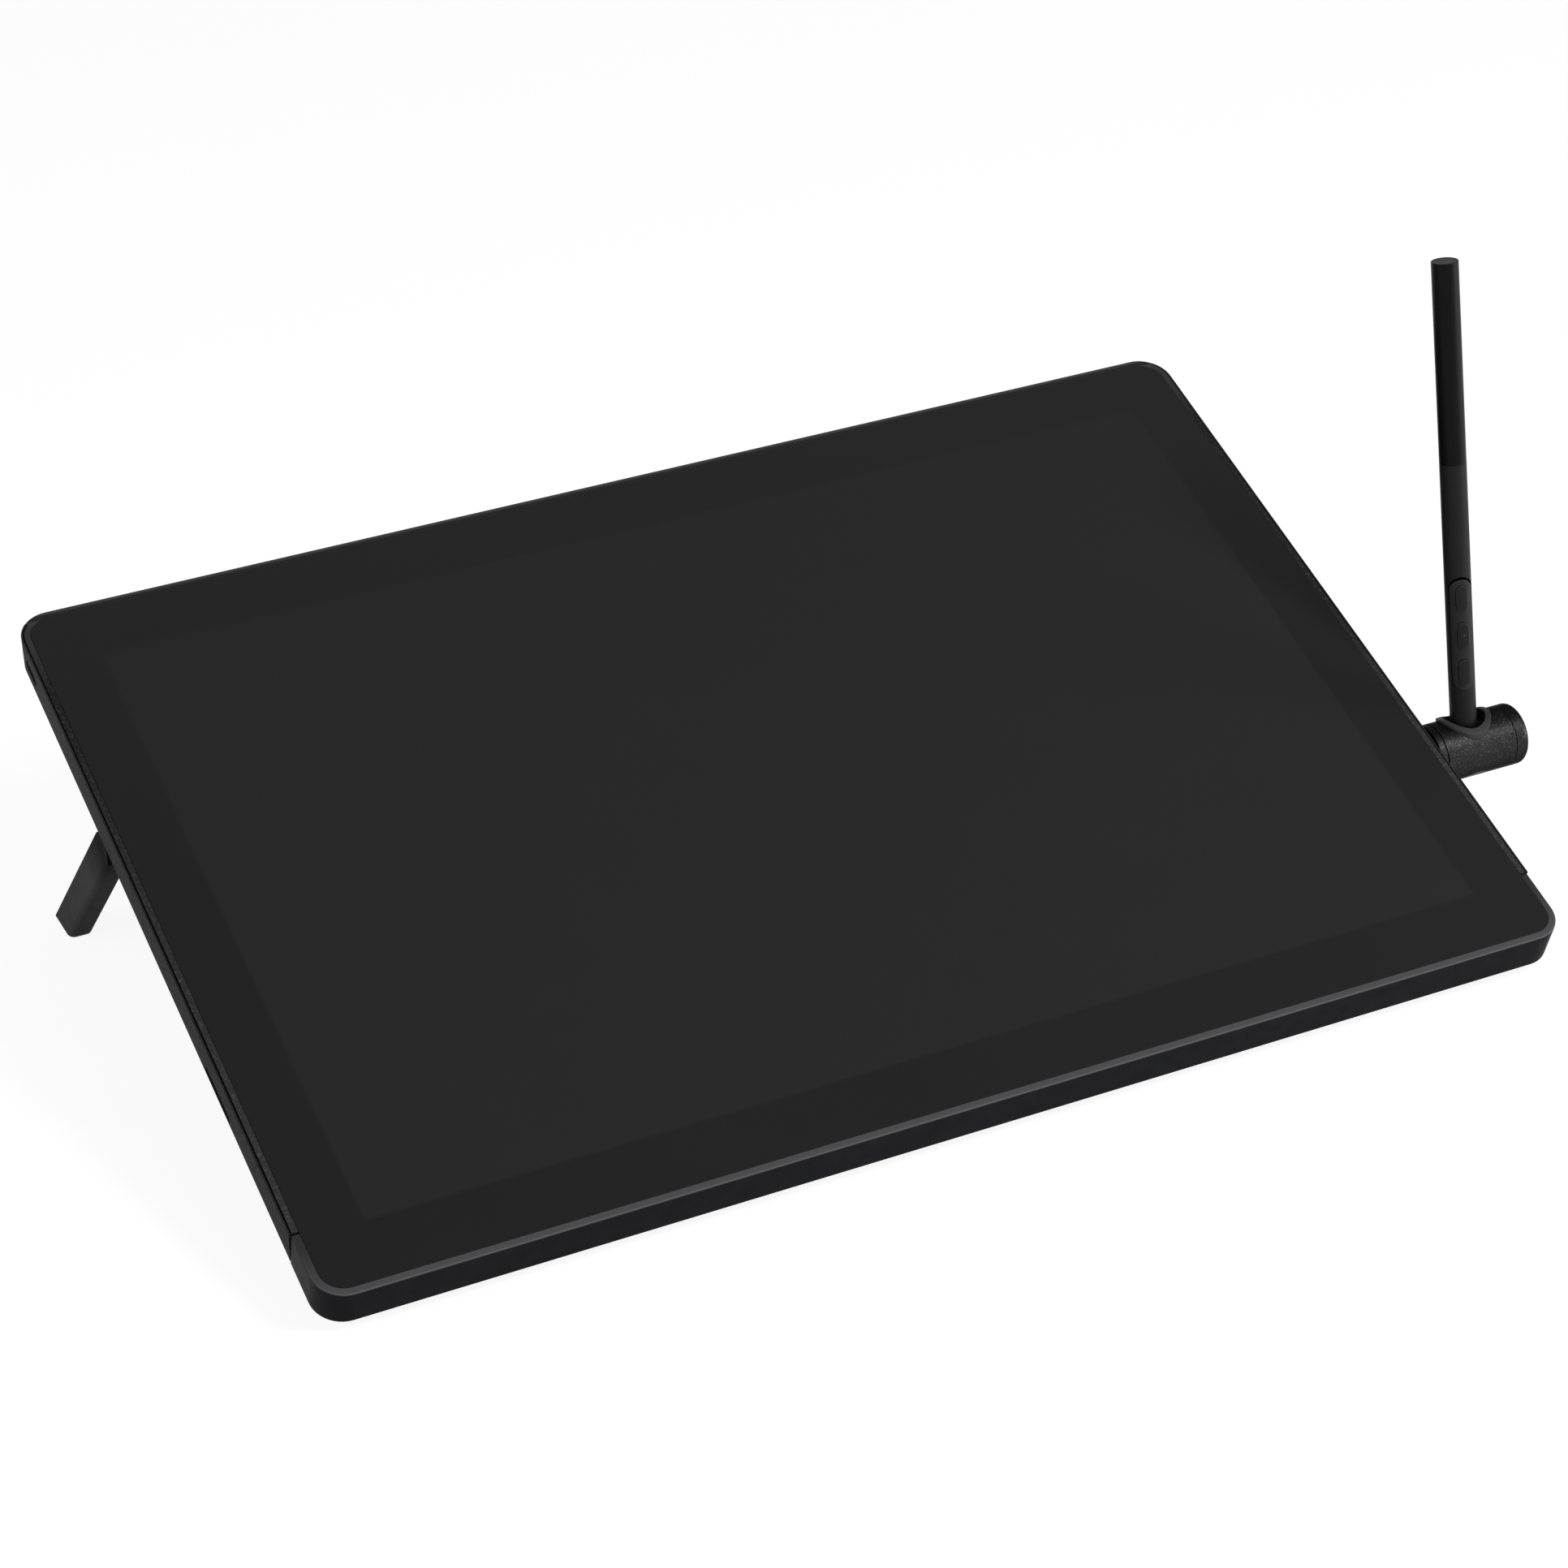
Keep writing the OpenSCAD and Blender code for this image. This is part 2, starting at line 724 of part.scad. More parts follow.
module mid_frame() {
    color([0.16, 0.16, 0.17]) on_panel() difference() {
        union() {
            round_the_glass() {
                wall_section(rim_w);
                wall_section(back_rim_w);
            }
            difference() {
                layer(glass_w - wall_in, glass_d - wall_in, glass_r - wall_in / 2, z_bond, roof_t);
                layer(opening_w, opening_d, lcd_corner, z_bond + cut, roof_t + 2 * cut);
            }
            layer(glass_w - wall_in, glass_d - wall_in, glass_r - wall_in / 2, z_shield, deck_t);
            difference() {
                layer(glass_w - wall_in, glass_d - wall_in, glass_r - wall_in / 2, z_plate, cover_t);
                layer(2 * (bulge_hw + fit), glass_d - 2 * wall_in, glass_r - wall_in, z_plate + cut, cover_t + 2 * cut);
            }
            screw_posts(z_deck - z_plate, boss_r);
            board_posts(z_deck, board_drop, boss_r);
            for (s = [-1, 1])
                on_side(s) block([notch_in - notch_wall + fit, holder_y - block_w / 2, z_edge],
                                 [gx - wall_in / 2, holder_y + block_w / 2, z_roof]);
        }
        for (s = [-1, 1]) {
            on_side(s) rail_space();
            on_side(s) side_notch(z_edge - cut);
            on_side(s) side_mount_hole();
            on_side(s) usb_opening(port_board_x, rail_out, fit);
            on_side(s) block([usb_mouth - usb_l - socket_room, port_y - usb_w / 2 - socket_room, z_deck - cut],
                             [gx - wall_in, port_y + usb_w / 2 + socket_room, z_shield + cut]);
        }
        screw_posts(z_deck - z_plate + deck_t / 2, screw_r + fit);
        board_posts(z_deck + deck_t / 2, board_drop + deck_t, screw_r + fit);
        flex_slot(panel_flex_x, panel_flex_w);
        flex_slot(sensor_flex_x, sensor_flex_w);
        translate([button_x, gy + back_rim_w, button_z]) rotate([90, 0, 0])
            linear_extrude(wall_in + back_rim_w + cut) obround(button_l + 2 * button_gap, button_h + 2 * button_gap);
        block([button_x - button_l / 2 - socket_room, switch_face - switch_d - socket_room, z_deck - cut],
              [button_x + button_l / 2 + socket_room, gy - wall_in, z_shield + cut]);
    }
}

module rail_section() {
    slope = tan(rail_draft) * (edge_h - lip_drop);
    u_groove = glass_gap + ledge_w;
    u_lip = u_groove + groove_w;
    polygon([
        [glass_gap + fit, z_edge], [rail_w - slope, z_edge], [rail_w, -lip_drop], [u_lip, -lip_drop],
        [u_lip, -groove_d], [u_groove, -groove_d], [u_groove, -rim_drop], [glass_gap + fit, -rim_drop]
    ]);
}

module side_rail(s) {
    color([0.27, 0.27, 0.28]) on_panel() on_side(s) difference() {
        along_side(-gy + rail_start) rail_section();
        side_notch(z_slot);
        usb_opening(gx - cut, rail_out + cut, port_slot_gap);
    }
}

// The thick middle of the back, drawn in by a wall's thickness
module bulge_form(inset, top) {
    bottom = z_back + inset;
    lean = bulge_slope / bulge_h;
    rise = top - z_edge;
    drop = z_edge - bottom;
    intersection() {
        side_shape(-bulge_hw + inset, bulge_hw - inset) polygon([
            [bulge_front + inset - lean * rise, top], [bulge_back - inset + lean * rise, top],
            [bulge_back - inset - lean * drop, bottom], [bulge_front + inset + lean * drop, bottom]
        ]);
        translate([0, (bulge_front + bulge_back) / 2, bottom - cut]) linear_extrude(top - bottom + 2 * cut)
            round_rect(2 * (bulge_hw - inset), bulge_back - bulge_front - 2 * inset, bulge_corner - inset);
    }
}

// Stop behind an open leg
module leg_stop() {
    side_shape(bulge_hw - cut, bulge_hw + stop_t) intersection() {
        translate([hinge_y, hinge_z]) rotate(leg_lean - 90) translate([-leg_w, leg_w / 2 + stop_gap])
            square([3 * leg_w, stop_d]);
        translate([hinge_y, z_back]) square([2 * stop_d, z_edge - fit - z_back]);
    }
}

module rear_mount_places() {
    for (x = [-1, 1], y = [-1, 1])
        translate([x * rear_mount_pitch / 2, rear_mount_y + y * rear_mount_pitch / 2, z_back]) children();
}

module rear_cover() {
    flange_d = 2 * (gy - wall_in - fit);
    color([0.12, 0.12, 0.13]) on_panel() difference() {
        union() {
            difference() {
                union() {
                    layer(2 * bulge_hw, flange_d, glass_r - wall_in, z_plate, cover_t);
                    bulge_form(0, z_edge);
                    for (s = [-1, 1])
                        on_side(s) leg_stop();
                }
                bulge_form(cover_t, z_plate + cut);
            }
            rear_mount_places() cylinder(h = insert_l + cover_t, r = insert_r + cover_t);
            for (s = [-1, 1])
                on_side(s) block([bulge_hw - boss_l, hinge_y - leg_w / 2, z_back],
                                 [bulge_hw, hinge_y + leg_w / 2, z_edge]);
        }
        rear_mount_places() translate([0, 0, -cut]) cylinder(h = insert_l + cut, r = insert_r + fit);
        for (s = [-1, 1])
            on_side(s) translate([0, hinge_y, hinge_z]) {
                bar(pin_start, bulge_hw + cut, pin_r + run);
                bar(pin_start - pin_l - cut, pin_start + pin_head_t + pin_head_gap, pin_r + pin_head_w + pin_head_gap);
            }
        for (x = cover_screw_x, y = cover_screw_y)
            translate([x, y, z_edge - cut]) {
                cylinder(h = cover_t + 2 * cut, r = screw_r + fit);
                cylinder(h = screw_head_t + fit + cut, r = screw_head_r + fit);
            }
        for (k = [0 : vent_n - 1])
            translate([(k - (vent_n - 1) / 2) * vent_pitch, board_y, z_back - cut]) rotate(90)
                linear_extrude(cover_t + 2 * cut) obround(vent_l, vent_w);
    }
}

module cover_screws() {
    color([0.3, 0.3, 0.32]) on_panel() for (x = cover_screw_x, y = cover_screw_y)
        translate([x, y, z_edge]) {
            cylinder(h = screw_head_t, r = screw_head_r);
            cylinder(h = z_deck - z_edge, r = screw_r);
        }
}

// Everything under the desk's surface, as an outline in the y-z plane
module under_desk(height) {
    rotate(-tilt) translate([-far, height - lift - far]) square([2 * far, far]);
}

module rubber_feet() {
    color([0.08, 0.08, 0.08]) on_panel() for (s = [-1, 1]) {
        difference() {
            translate([s * foot_x, foot_front_y, z_back - foot_t]) linear_extrude(foot_t)
                round_rect(foot_w, foot_d, foot_corner);
            side_shape(-gx, gx) under_desk(0);
        }
        translate([s * foot_x, foot_back_y, z_back - foot_t]) linear_extrude(foot_t)
            round_rect(foot_w, foot_d, foot_corner);
    }
}

module rear_mount_inserts() {
    color([0.75, 0.6, 0.3]) on_panel() rear_mount_places() difference() {
        cylinder(h = insert_l, r = insert_r);
        translate([0, 0, -cut]) cylinder(h = insert_l + 2 * cut, r = rear_mount_hole_r);
    }
}

// Electronics

module main_board() {
    color([0.05, 0.25, 0.15]) on_panel() difference() {
        translate([0, board_y, z_board - board_t]) linear_extrude(board_t)
            square([board_w, board_d], center = true);
        board_posts(z_board + cut, board_t + 2 * cut, screw_r + fit);
    }
}

module board_chips() {
    color([0.1, 0.1, 0.1]) on_panel() for (k = [-2 : 2])
        translate([k * chip_pitch, board_y + (k % 2) * chip_shift, z_chip])
            linear_extrude(chip_t) square(k == 0 ? main_chip_w : chip_w, center = true);
}

module heat_spreader() {
    color([0.75, 0.75, 0.77]) on_panel() translate([0, board_y, z_chip - spreader_t])
        linear_extrude(spreader_t) round_rect(spreader_w, spreader_d, spreader_corner);
}

module board_screws() {
    color([0.7, 0.7, 0.7]) on_panel() {
        board_posts(z_board - board_t, screw_head_t, screw_head_r);
        board_posts(z_deck, board_drop + board_t, screw_r);
    }
}

// A flat cable from the far edge of a layer, down through the deck and onto the main board
module flex(x, w, top) {
    edge = lcd_d / 2;
    bend = edge + flex_gap;
    board_edge = board_y + board_d / 2;
    turn = board_edge + flex_turn;
    low = z_deck - flex_drop;
    color([0.75, 0.5, 0.2]) on_panel() side_shape(x - w / 2, x + w / 2) polygon([
        [edge, top], [bend + flex_t, top], [bend + flex_t, low - flex_t], [turn + flex_t, low - flex_t],
        [turn + flex_t, z_board], [board_edge - flex_lap, z_board],
        [board_edge - flex_lap, z_board + flex_t], [turn, z_board + flex_t], [turn, low],
        [bend, low], [bend, top - flex_t], [edge, top - flex_t]
    ]);
}

module panel_flex() {
    flex(panel_flex_x, panel_flex_w, z_bond - flex_t);
}

module sensor_flex() {
    flex(sensor_flex_x, sensor_flex_w, z_tray - fit);
}

module port_boards() {
    color([0.05, 0.25, 0.15]) on_panel() for (s = [-1, 1])
        on_side(s) translate([0, port_y + usb_w / 2 + port_board_lap, z_deck])
            block([port_board_x, -port_board_d, -port_board_t], [port_board_x + port_board_w, 0, 0]);
}

module usb_sockets() {
    color([0.7, 0.7, 0.72]) on_panel() for (s = [-1, 1])
        on_side(s) {
            difference() {
                usb_opening(usb_mouth - usb_l, usb_mouth, 0);
                usb_opening(usb_mouth - usb_depth, usb_mouth + cut, -usb_wall);
            }
            side_shape(usb_mouth - usb_depth - fit, usb_mouth - usb_tongue_in) translate([port_y, port_z])
                square([usb_tongue_w, usb_tongue_t], center = true);
        }
}

module power_button() {
    color([0.2, 0.2, 0.21]) on_panel() {
        translate([button_x, button_face, button_z]) rotate([90, 0, 0])
            linear_extrude(button_face - button_back) obround(button_l, button_h);
        translate([button_x, skirt_face, button_z]) rotate([90, 0, 0])
            linear_extrude(button_skirt_t) obround(button_l + 2 * button_skirt, button_h + 2 * button_gap + button_skirt);
    }
}

module power_switch() {
    color([0.15, 0.15, 0.15]) on_panel() {
        block([button_x - switch_w / 2, switch_face - switch_d, z_deck - fit],
              [button_x + switch_w / 2, switch_face, z_deck + switch_h]);
        block([button_x - switch_board_w / 2, switch_face - switch_board_d, z_deck - switch_board_t],
              [button_x + switch_board_w / 2, switch_face, z_deck]);
    }
}

// Stand

// Outline of an open leg in the y-z plane
module leg_outline() {
    translate([hinge_y, hinge_z]) {
        circle(leg_w / 2);
        rotate(leg_lean - 90) translate([0, -leg_w / 2]) square([leg_reach, leg_w]);
    }
}

// A square corner less its rounding, with the corner at the origin
module corner_waste(r) {
    difference() {
        translate([-cut, -cut]) square(r + cut);
        translate([r, r]) circle(r);
    }
}

// The leg's bar with its front edges rounded below the hinge
module leg_bar() {
    difference() {
        side_shape(leg_in, leg_out) leg_outline();
        translate([0, hinge_y, hinge_z]) rotate([180 + leg_lean, 0, 0]) {
            translate([leg_in, leg_w / 2, 0]) rotate(-90) linear_extrude(leg_reach + cut) corner_waste(leg_round);
            translate([leg_out, leg_w / 2, 0]) rotate(180) linear_extrude(leg_reach + cut) corner_waste(leg_round);
        }
    }
}

module leg(s) {
    color([0.3, 0.3, 0.31]) on_panel() on_side(s) difference() {
        leg_bar();
        side_shape(leg_in - cut, leg_out + cut) under_desk(tip_t);
        translate([0, hinge_y, hinge_z]) bar(leg_in - cut, pin_end + fit, pin_r + fit);
    }
}

module leg_tip(s) {
    color([0.08, 0.08, 0.08]) on_panel() on_side(s) intersection() {
        leg_bar();
        side_shape(leg_in - cut, leg_out + cut) difference() {
            under_desk(tip_t);
            under_desk(0);
        }
    }
}

module hinge_pin(s) {
    color([0.65, 0.65, 0.67]) on_panel() on_side(s) translate([0, hinge_y, hinge_z]) {
        bar(pin_start, pin_end, pin_r);
        bar(pin_start, pin_start + pin_head_t, pin_r + pin_head_w);
    }
}

module hinge_washers() {
    color([0.7, 0.7, 0.72]) on_panel() for (s = [-1, 1])
        on_side(s) translate([0, hinge_y, hinge_z]) difference() {
            bar(bulge_hw, bulge_hw + washer_t, pin_r + washer_w);
            bar(bulge_hw - cut, bulge_hw + washer_t + cut, pin_r + run);
        }
}

// Pen holder

module holder_bracket() {
    color([0.3, 0.3, 0.31]) difference() {
        union() {
            on_panel() side_shape(notch_in + tongue_gap, (neck_in + ring_in) / 2)
                notch_section(tongue_gap, z_slot + tongue_gap);
            on_holder() bar(neck_in, ring_in + fit, neck_r);
            on_holder() bar(ring_in, ring_out, holder_r);
        }
        on_holder() bar(neck_in, ring_out + cut, holder_screw_r + fit);
        on_panel() translate([side_mount_x, holder_y, z_slot + tongue_gap]) {
            cylinder(h = notch_h, r = side_mount_hole_r + fit);
            cylinder(h = countersink_t, r1 = screw_head_r + fit, r2 = side_mount_hole_r + fit);
        }
    }
}

module bracket_screw() {
    color([0.3, 0.3, 0.32]) on_panel() translate([side_mount_x, holder_y, z_slot + tongue_gap]) {
        cylinder(h = countersink_t, r1 = screw_head_r, r2 = side_mount_hole_r - fit);
        cylinder(h = notch_h - slot_lip + thread_l - cut, r = side_mount_hole_r - fit);
    }
}

module holder_washer() {
    color([0.7, 0.7, 0.72]) on_holder() difference() {
        bar(ring_out, ring_out + friction_t, friction_r);
        bar(ring_out - cut, ring_out + friction_t + cut, holder_screw_r + run);
    }
}

module holder_screw() {
    color([0.65, 0.65, 0.67]) on_holder() {
        bar(neck_in + fit, head_seat + cut / 2, holder_screw_r);
        bar(head_seat + fit, head_seat + holder_head_t, holder_head_r);
    }
}

// The holder's outer cylinder, drawn in or out by a distance
module holder_round(grow) {
    bar(body_in, body_out, holder_r + grow);
}

module holder_body() {
    color([0.33, 0.33, 0.34]) on_holder() difference() {
        holder_round(0);
        bar(body_in - cut, pen_x, holder_screw_r + run);
        bar(head_seat, pen_x, holder_head_r + run);
        at_pen_hole() translate([0, 0, liner_floor]) cylinder(h = 3 * holder_r, r = liner_r);
        bar(nib_room_in, body_out + cut, nib_room_r);
    }
}

// Inside of the liner: nose cone, funnel and wide mouth
module liner_hollow() {
    cone = (pen_r - nose_r) / (nose_l - nose_tip);
    z_nose = -pen_seat + nose_tip;
    r_funnel = nose_r + nose_gap + cone * (funnel_from - z_nose);
    rotate_extrude() polygon([
        [0, liner_floor + liner_base], [nose_r + nose_gap, liner_floor + liner_base],
        [nose_r + nose_gap, z_nose], [r_funnel, funnel_from], [mouth_r, funnel_to],
        [mouth_r, 2 * holder_r], [0, 2 * holder_r]
    ]);
}

module holder_liner() {
    color([0.22, 0.22, 0.23]) on_holder() difference() {
        union() {
            intersection() {
                at_pen_hole() translate([0, 0, liner_floor + fit])
                    cylinder(h = 2 * holder_r, r = liner_r - fit);
                holder_round(fit);
            }
            intersection() {
                at_pen_hole() cylinder(h = 2 * holder_r, r = liner_r + lip_ring_w);
                difference() {
                    holder_round(lip_ring_h);
                    holder_round(fit);
                }
            }
        }
        at_pen_hole() liner_hollow();
        bar(body_in - cut, head_seat + holder_head_t + fit, holder_head_r + run);
    }
}

module holder_cap() {
    color([0.33, 0.33, 0.34]) on_holder() translate([cap_in, 0, 0]) rotate([0, 90, 0]) rotate_extrude() {
        difference() {
            union() {
                square([holder_r, cap_l - cap_round]);
                square([holder_r - cap_round, cap_l]);
                intersection() {
                    translate([holder_r - cap_round, cap_l - cap_round]) circle(cap_round);
                    square([holder_r, cap_l]);
                }
            }
            translate([0, -cut]) square([nib_room_r - fit - spigot_wall, cap_l - cap_wall + cut]);
        }
        translate([nib_room_r - fit - spigot_wall, -spigot_l - cap_gap])
            square([spigot_wall, spigot_l + cap_gap + fit]);
    }
}

module spare_nibs() {
    color([0.12, 0.12, 0.12]) on_holder() for (k = [0 : nib_count - 1])
        translate([nib_room_in + nib_r, (k - (nib_count - 1) / 2) * nib_pitch, -spare_nib_l / 2])
            cylinder(h = spare_nib_l, r = nib_r);
}

module nib_puller() {
    color([0.7, 0.7, 0.72]) on_holder() difference() {
        bar(cap_out - cap_wall - puller_t, cap_out - cap_wall, puller_r);
        bar(cap_out - cap_wall - puller_t - cut, cap_out - cap_wall + cut, puller_hole_r);
    }
}

// Pen

// The outline of the switch plate, pulled out of the pen towards its buttons
module plate_column(grow) {
    translate([0, 0, plate_at]) rotate([90, 0, 0]) linear_extrude(2 * pen_r)
        rotate(90) obround(plate_l + 2 * grow, plate_w + 2 * grow);
}

// The outline of one side button, k = -1, 0 or 1, from one depth to another
module pen_button_column(k, grow, from, to) {
    translate([0, -from, plate_at + k * pen_button_pitch]) rotate([90, 0, 0]) linear_extrude(to - from)
        rotate(90) obround(pen_button_l + 2 * grow, pen_button_w + 2 * grow);
}

module pen_front_barrel() {
    color([0.2, 0.2, 0.21]) on_pen() difference() {
        rotate_extrude() polygon([
            [nose_hole_r, nose_tip], [nose_r, nose_tip], [pen_r, nose_l], [pen_r, seam_at],
            [pen_in, seam_at], [pen_in, inner_from], [coil_r + 2 * coil_gap, core_from - fit],
            [nose_hole_r, core_from - fit]
        ]);
        plate_column(plate_gap);
        translate([0, 0, plate_rear_gap]) plate_column(plate_gap);
    }
}

module pen_rear_barrel() {
    spigot_r = pen_in - fit;
    seat = pen_l - tail_l;
    color([0.1, 0.1, 0.11]) on_pen() rotate_extrude() {
        translate([pen_in, seam_at + fit]) square([pen_wall, seat - seam_at - fit]);
        translate([pen_r - tail_rim, seat - fit]) square([tail_rim, tail_l + fit - tail_round]);
        translate([pen_r - tail_rim, seat]) square([tail_rim - tail_round, tail_l]);
        intersection() {
            translate([pen_r - tail_round, pen_l - tail_round]) circle(tail_round);
            translate([pen_r - tail_round, seat]) square([tail_round, tail_l]);
        }
        translate([spigot_r - spigot_pen_wall, seam_at - spigot_pen_l])
            square([spigot_pen_wall, 2 * spigot_pen_l]);
        translate([spigot_r - fit, seam_at + fit]) square([3 * fit, spigot_pen_l - fit]);
    }
}

module pen_tail_cap() {
    seat = pen_l - tail_l;
    color([0.27, 0.27, 0.28]) on_pen() {
        translate([0, 0, seat]) cylinder(h = tail_l - tail_sink, r = pen_r - tail_rim - fit);
        translate([0, 0, seat - tail_plug_l]) cylinder(h = tail_plug_l + fit, r = pen_in - fit);
    }
}

module pen_switch_plate() {
    color([0.24, 0.24, 0.25]) on_pen() difference() {
        intersection() {
            plate_column(0);
            translate([0, 0, plate_at - plate_l]) difference() {
                cylinder(h = 2 * plate_l, r = pen_r + plate_proud);
                translate([0, 0, -cut]) cylinder(h = 2 * plate_l + 2 * cut, r = plate_in);
            }
        }
        for (k = [-1 : 1])
            pen_button_column(k, pen_button_gap, 0, 2 * pen_r);
    }
}

module pen_button(k) {
    crown = pen_r + plate_proud + pen_button_h;
    color([0.18, 0.18, 0.19]) on_pen() {
        intersection() {
            union() {
                pen_button_column(k, 0, button_foot, 2 * pen_r);
                pen_button_column(k, pen_flange, button_foot, button_foot + pen_flange_t);
            }
            translate([0, 0, plate_at - plate_l]) cylinder(h = 2 * plate_l, r = crown);
        }
        if (k == 0)
            translate([0, nub_r / 2 - crown, plate_at]) sphere(nub_r);
    }
}

module pen_nib() {
    color([0.1, 0.1, 0.1]) on_pen() rotate_extrude() {
        translate([0, nib_r]) square([nib_r, nib_l - nib_r]);
        intersection() {
            translate([0, nib_r]) circle(nib_r);
            square(nib_r);
        }
    }
}

module pen_plunger() {
    color([0.85, 0.85, 0.82]) on_pen() translate([0, 0, nib_l]) cylinder(h = plunger_end - nib_l, r = nib_r);
}

module pen_tube(from, to, r_out, r_in) {
    translate([0, 0, from]) difference() {
        cylinder(h = to - from, r = r_out);
        translate([0, 0, -cut]) cylinder(h = to - from + 2 * cut, r = r_in);
    }
}

module pen_ferrite() {
    color([0.25, 0.25, 0.27]) on_pen() pen_tube(core_from, core_to, core_r, nose_hole_r);
}

module pen_coil() {
    color([0.7, 0.4, 0.2]) on_pen() pen_tube(coil_from, coil_to, coil_r, core_r + coil_gap);
}

module pen_pressure_sensor() {
    reach = plunger_end + nib_travel + stem_gap;
    color([0.8, 0.8, 0.78]) on_pen() difference() {
        translate([0, 0, sensor_from]) cylinder(h = sensor_l, r = cradle_r - cradle_wall - fit);
        translate([0, 0, sensor_from - cut]) cylinder(h = reach - sensor_from + cut, r = nose_hole_r);
        block([-pen_r, -pen_r, sensor_from - cut], [pen_r, -sensor_top, sensor_to + cut]);
    }
}

module pen_inner_frame() {
    color([0.75, 0.75, 0.73]) on_pen() intersection() {
        pen_tube(cradle_from, cradle_to, cradle_r, cradle_r - cradle_wall);
        block([-pen_r, cradle_top, cradle_from - cut], [pen_r, pen_r, cradle_to + cut]);
    }
}

module pen_board() {
    face = cradle_top - pen_board_t;
    color([0.05, 0.25, 0.15]) on_pen() {
        block([-pen_board_w / 2, face, pen_board_from], [pen_board_w / 2, cradle_top, pen_board_to]);
        for (k = [-1 : 1])
            translate([0, 0, plate_at + k * pen_button_pitch])
                block([-dome_l / 2, face - dome_t, -dome_l / 2], [dome_l / 2, face + fit, dome_l / 2]);
    }
}

cover_glass();
optical_bond();
glass_gasket();
lcd_panel();
film_stack();
light_guide();
led_bar();
reflector_sheet();
backlight_tray();
sensor_board();
shield_plate();
mid_frame();
side_rail(-1);  // left_side_rail
side_rail(1);  // right_side_rail
rear_cover();
cover_screws();
rubber_feet();
rear_mount_inserts();
main_board();
board_chips();
heat_spreader();
board_screws();
panel_flex();
sensor_flex();
port_boards();
usb_sockets();
power_button();
power_switch();
leg(-1);  // left_leg
leg(1);  // right_leg
leg_tip(-1);  // left_leg_tip
leg_tip(1);  // right_leg_tip
hinge_pin(-1);  // left_hinge_pin
hinge_pin(1);  // right_hinge_pin
hinge_washers();
holder_bracket();
bracket_screw();
holder_washer();
holder_screw();
holder_body();
holder_liner();
holder_cap();
spare_nibs();
nib_puller();
pen_front_barrel();
pen_rear_barrel();
pen_tail_cap();
pen_switch_plate();
pen_button(-1);  // pen_button_front
pen_button(0);  // pen_button_middle
pen_button(1);  // pen_button_rear
pen_nib();
pen_plunger();
pen_ferrite();
pen_coil();
pen_pressure_sensor();
pen_inner_frame();
pen_board();
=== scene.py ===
"""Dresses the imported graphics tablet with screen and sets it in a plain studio.

Lengths are written in millimetres and turned into metres where a mesh or a node
needs them; the studio's own lengths are in metres. The panel frame used below is
the slab's own flat frame: its origin is on the glass at the middle of the lit area,
x runs to the right, y up the panel and z out of the glass.
"""

import logging
import math
from collections.abc import Callable, Sequence
from dataclasses import dataclass
from enum import Enum

import bmesh
import bpy
from mathutils import Matrix, Vector


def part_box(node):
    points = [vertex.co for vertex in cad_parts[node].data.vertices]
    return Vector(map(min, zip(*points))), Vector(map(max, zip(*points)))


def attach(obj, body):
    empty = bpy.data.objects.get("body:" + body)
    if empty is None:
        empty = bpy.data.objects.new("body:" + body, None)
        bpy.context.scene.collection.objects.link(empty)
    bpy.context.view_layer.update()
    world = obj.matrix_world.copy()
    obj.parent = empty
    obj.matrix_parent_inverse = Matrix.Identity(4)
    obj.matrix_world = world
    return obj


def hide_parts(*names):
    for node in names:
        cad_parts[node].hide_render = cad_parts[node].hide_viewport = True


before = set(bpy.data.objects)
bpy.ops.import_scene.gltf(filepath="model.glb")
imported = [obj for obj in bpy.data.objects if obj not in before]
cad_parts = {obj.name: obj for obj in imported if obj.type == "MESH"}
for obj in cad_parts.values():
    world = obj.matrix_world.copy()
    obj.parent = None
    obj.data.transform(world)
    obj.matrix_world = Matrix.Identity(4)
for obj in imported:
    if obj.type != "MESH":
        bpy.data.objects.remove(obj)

LOG = logging.getLogger("tablet")
MM = 0.001

Colour = tuple[float, float, float]
Triple = tuple[float, float, float]
Span = tuple[float, float]
Socket = bpy.types.NodeSocket

# Parts of the noise's range that turn into a share from 0 to 1.
MOTTLE_NOISE: Span = (0.3, 0.7)
FLECK_NOISE: Span = (0.55, 0.72)
SPECK_NOISE: Span = (0.52, 0.72)

# Cosine between the face's normal and the rounded one, from a worn edge to a plain face.
EDGE_COSINE: Span = (0.86, 0.99)

# Octaves of the slow noise and of the flecks, and how much finer than the colour the roughness varies.
SLOW_DETAIL = 3.0
FLECK_DETAIL = 1.0
ROUGH_FINER = 3

BEVEL_SAMPLES = 6
LOWEST_ROUGHNESS = 0.02
WEAR_GAIN = 4.0
DRAWN_STRETCH: Triple = (0.05, 1.0, 1.0)

# Numbers of the sockets of a node that mixes colours.
MIX_FACTOR, MIX_FIRST, MIX_SECOND, MIX_RESULT = 0, 6, 7, 2

# A cross recess: reach of an arm over half its width, and width of its floor over its mouth's.
CROSS_SLIMNESS = 4
CROSS_TAPER = 0.6


class Texture(Enum):
    """Ways in which a surface breaks the light."""

    SMOOTH = "smooth"
    COATED = "coated"
    ERODED = "eroded"
    BLASTED = "blasted"
    DRAWN = "drawn"


GRAIN_DETAIL: dict[Texture, float] = {Texture.COATED: 1.0, Texture.ERODED: 4.0, Texture.DRAWN: 3.0}


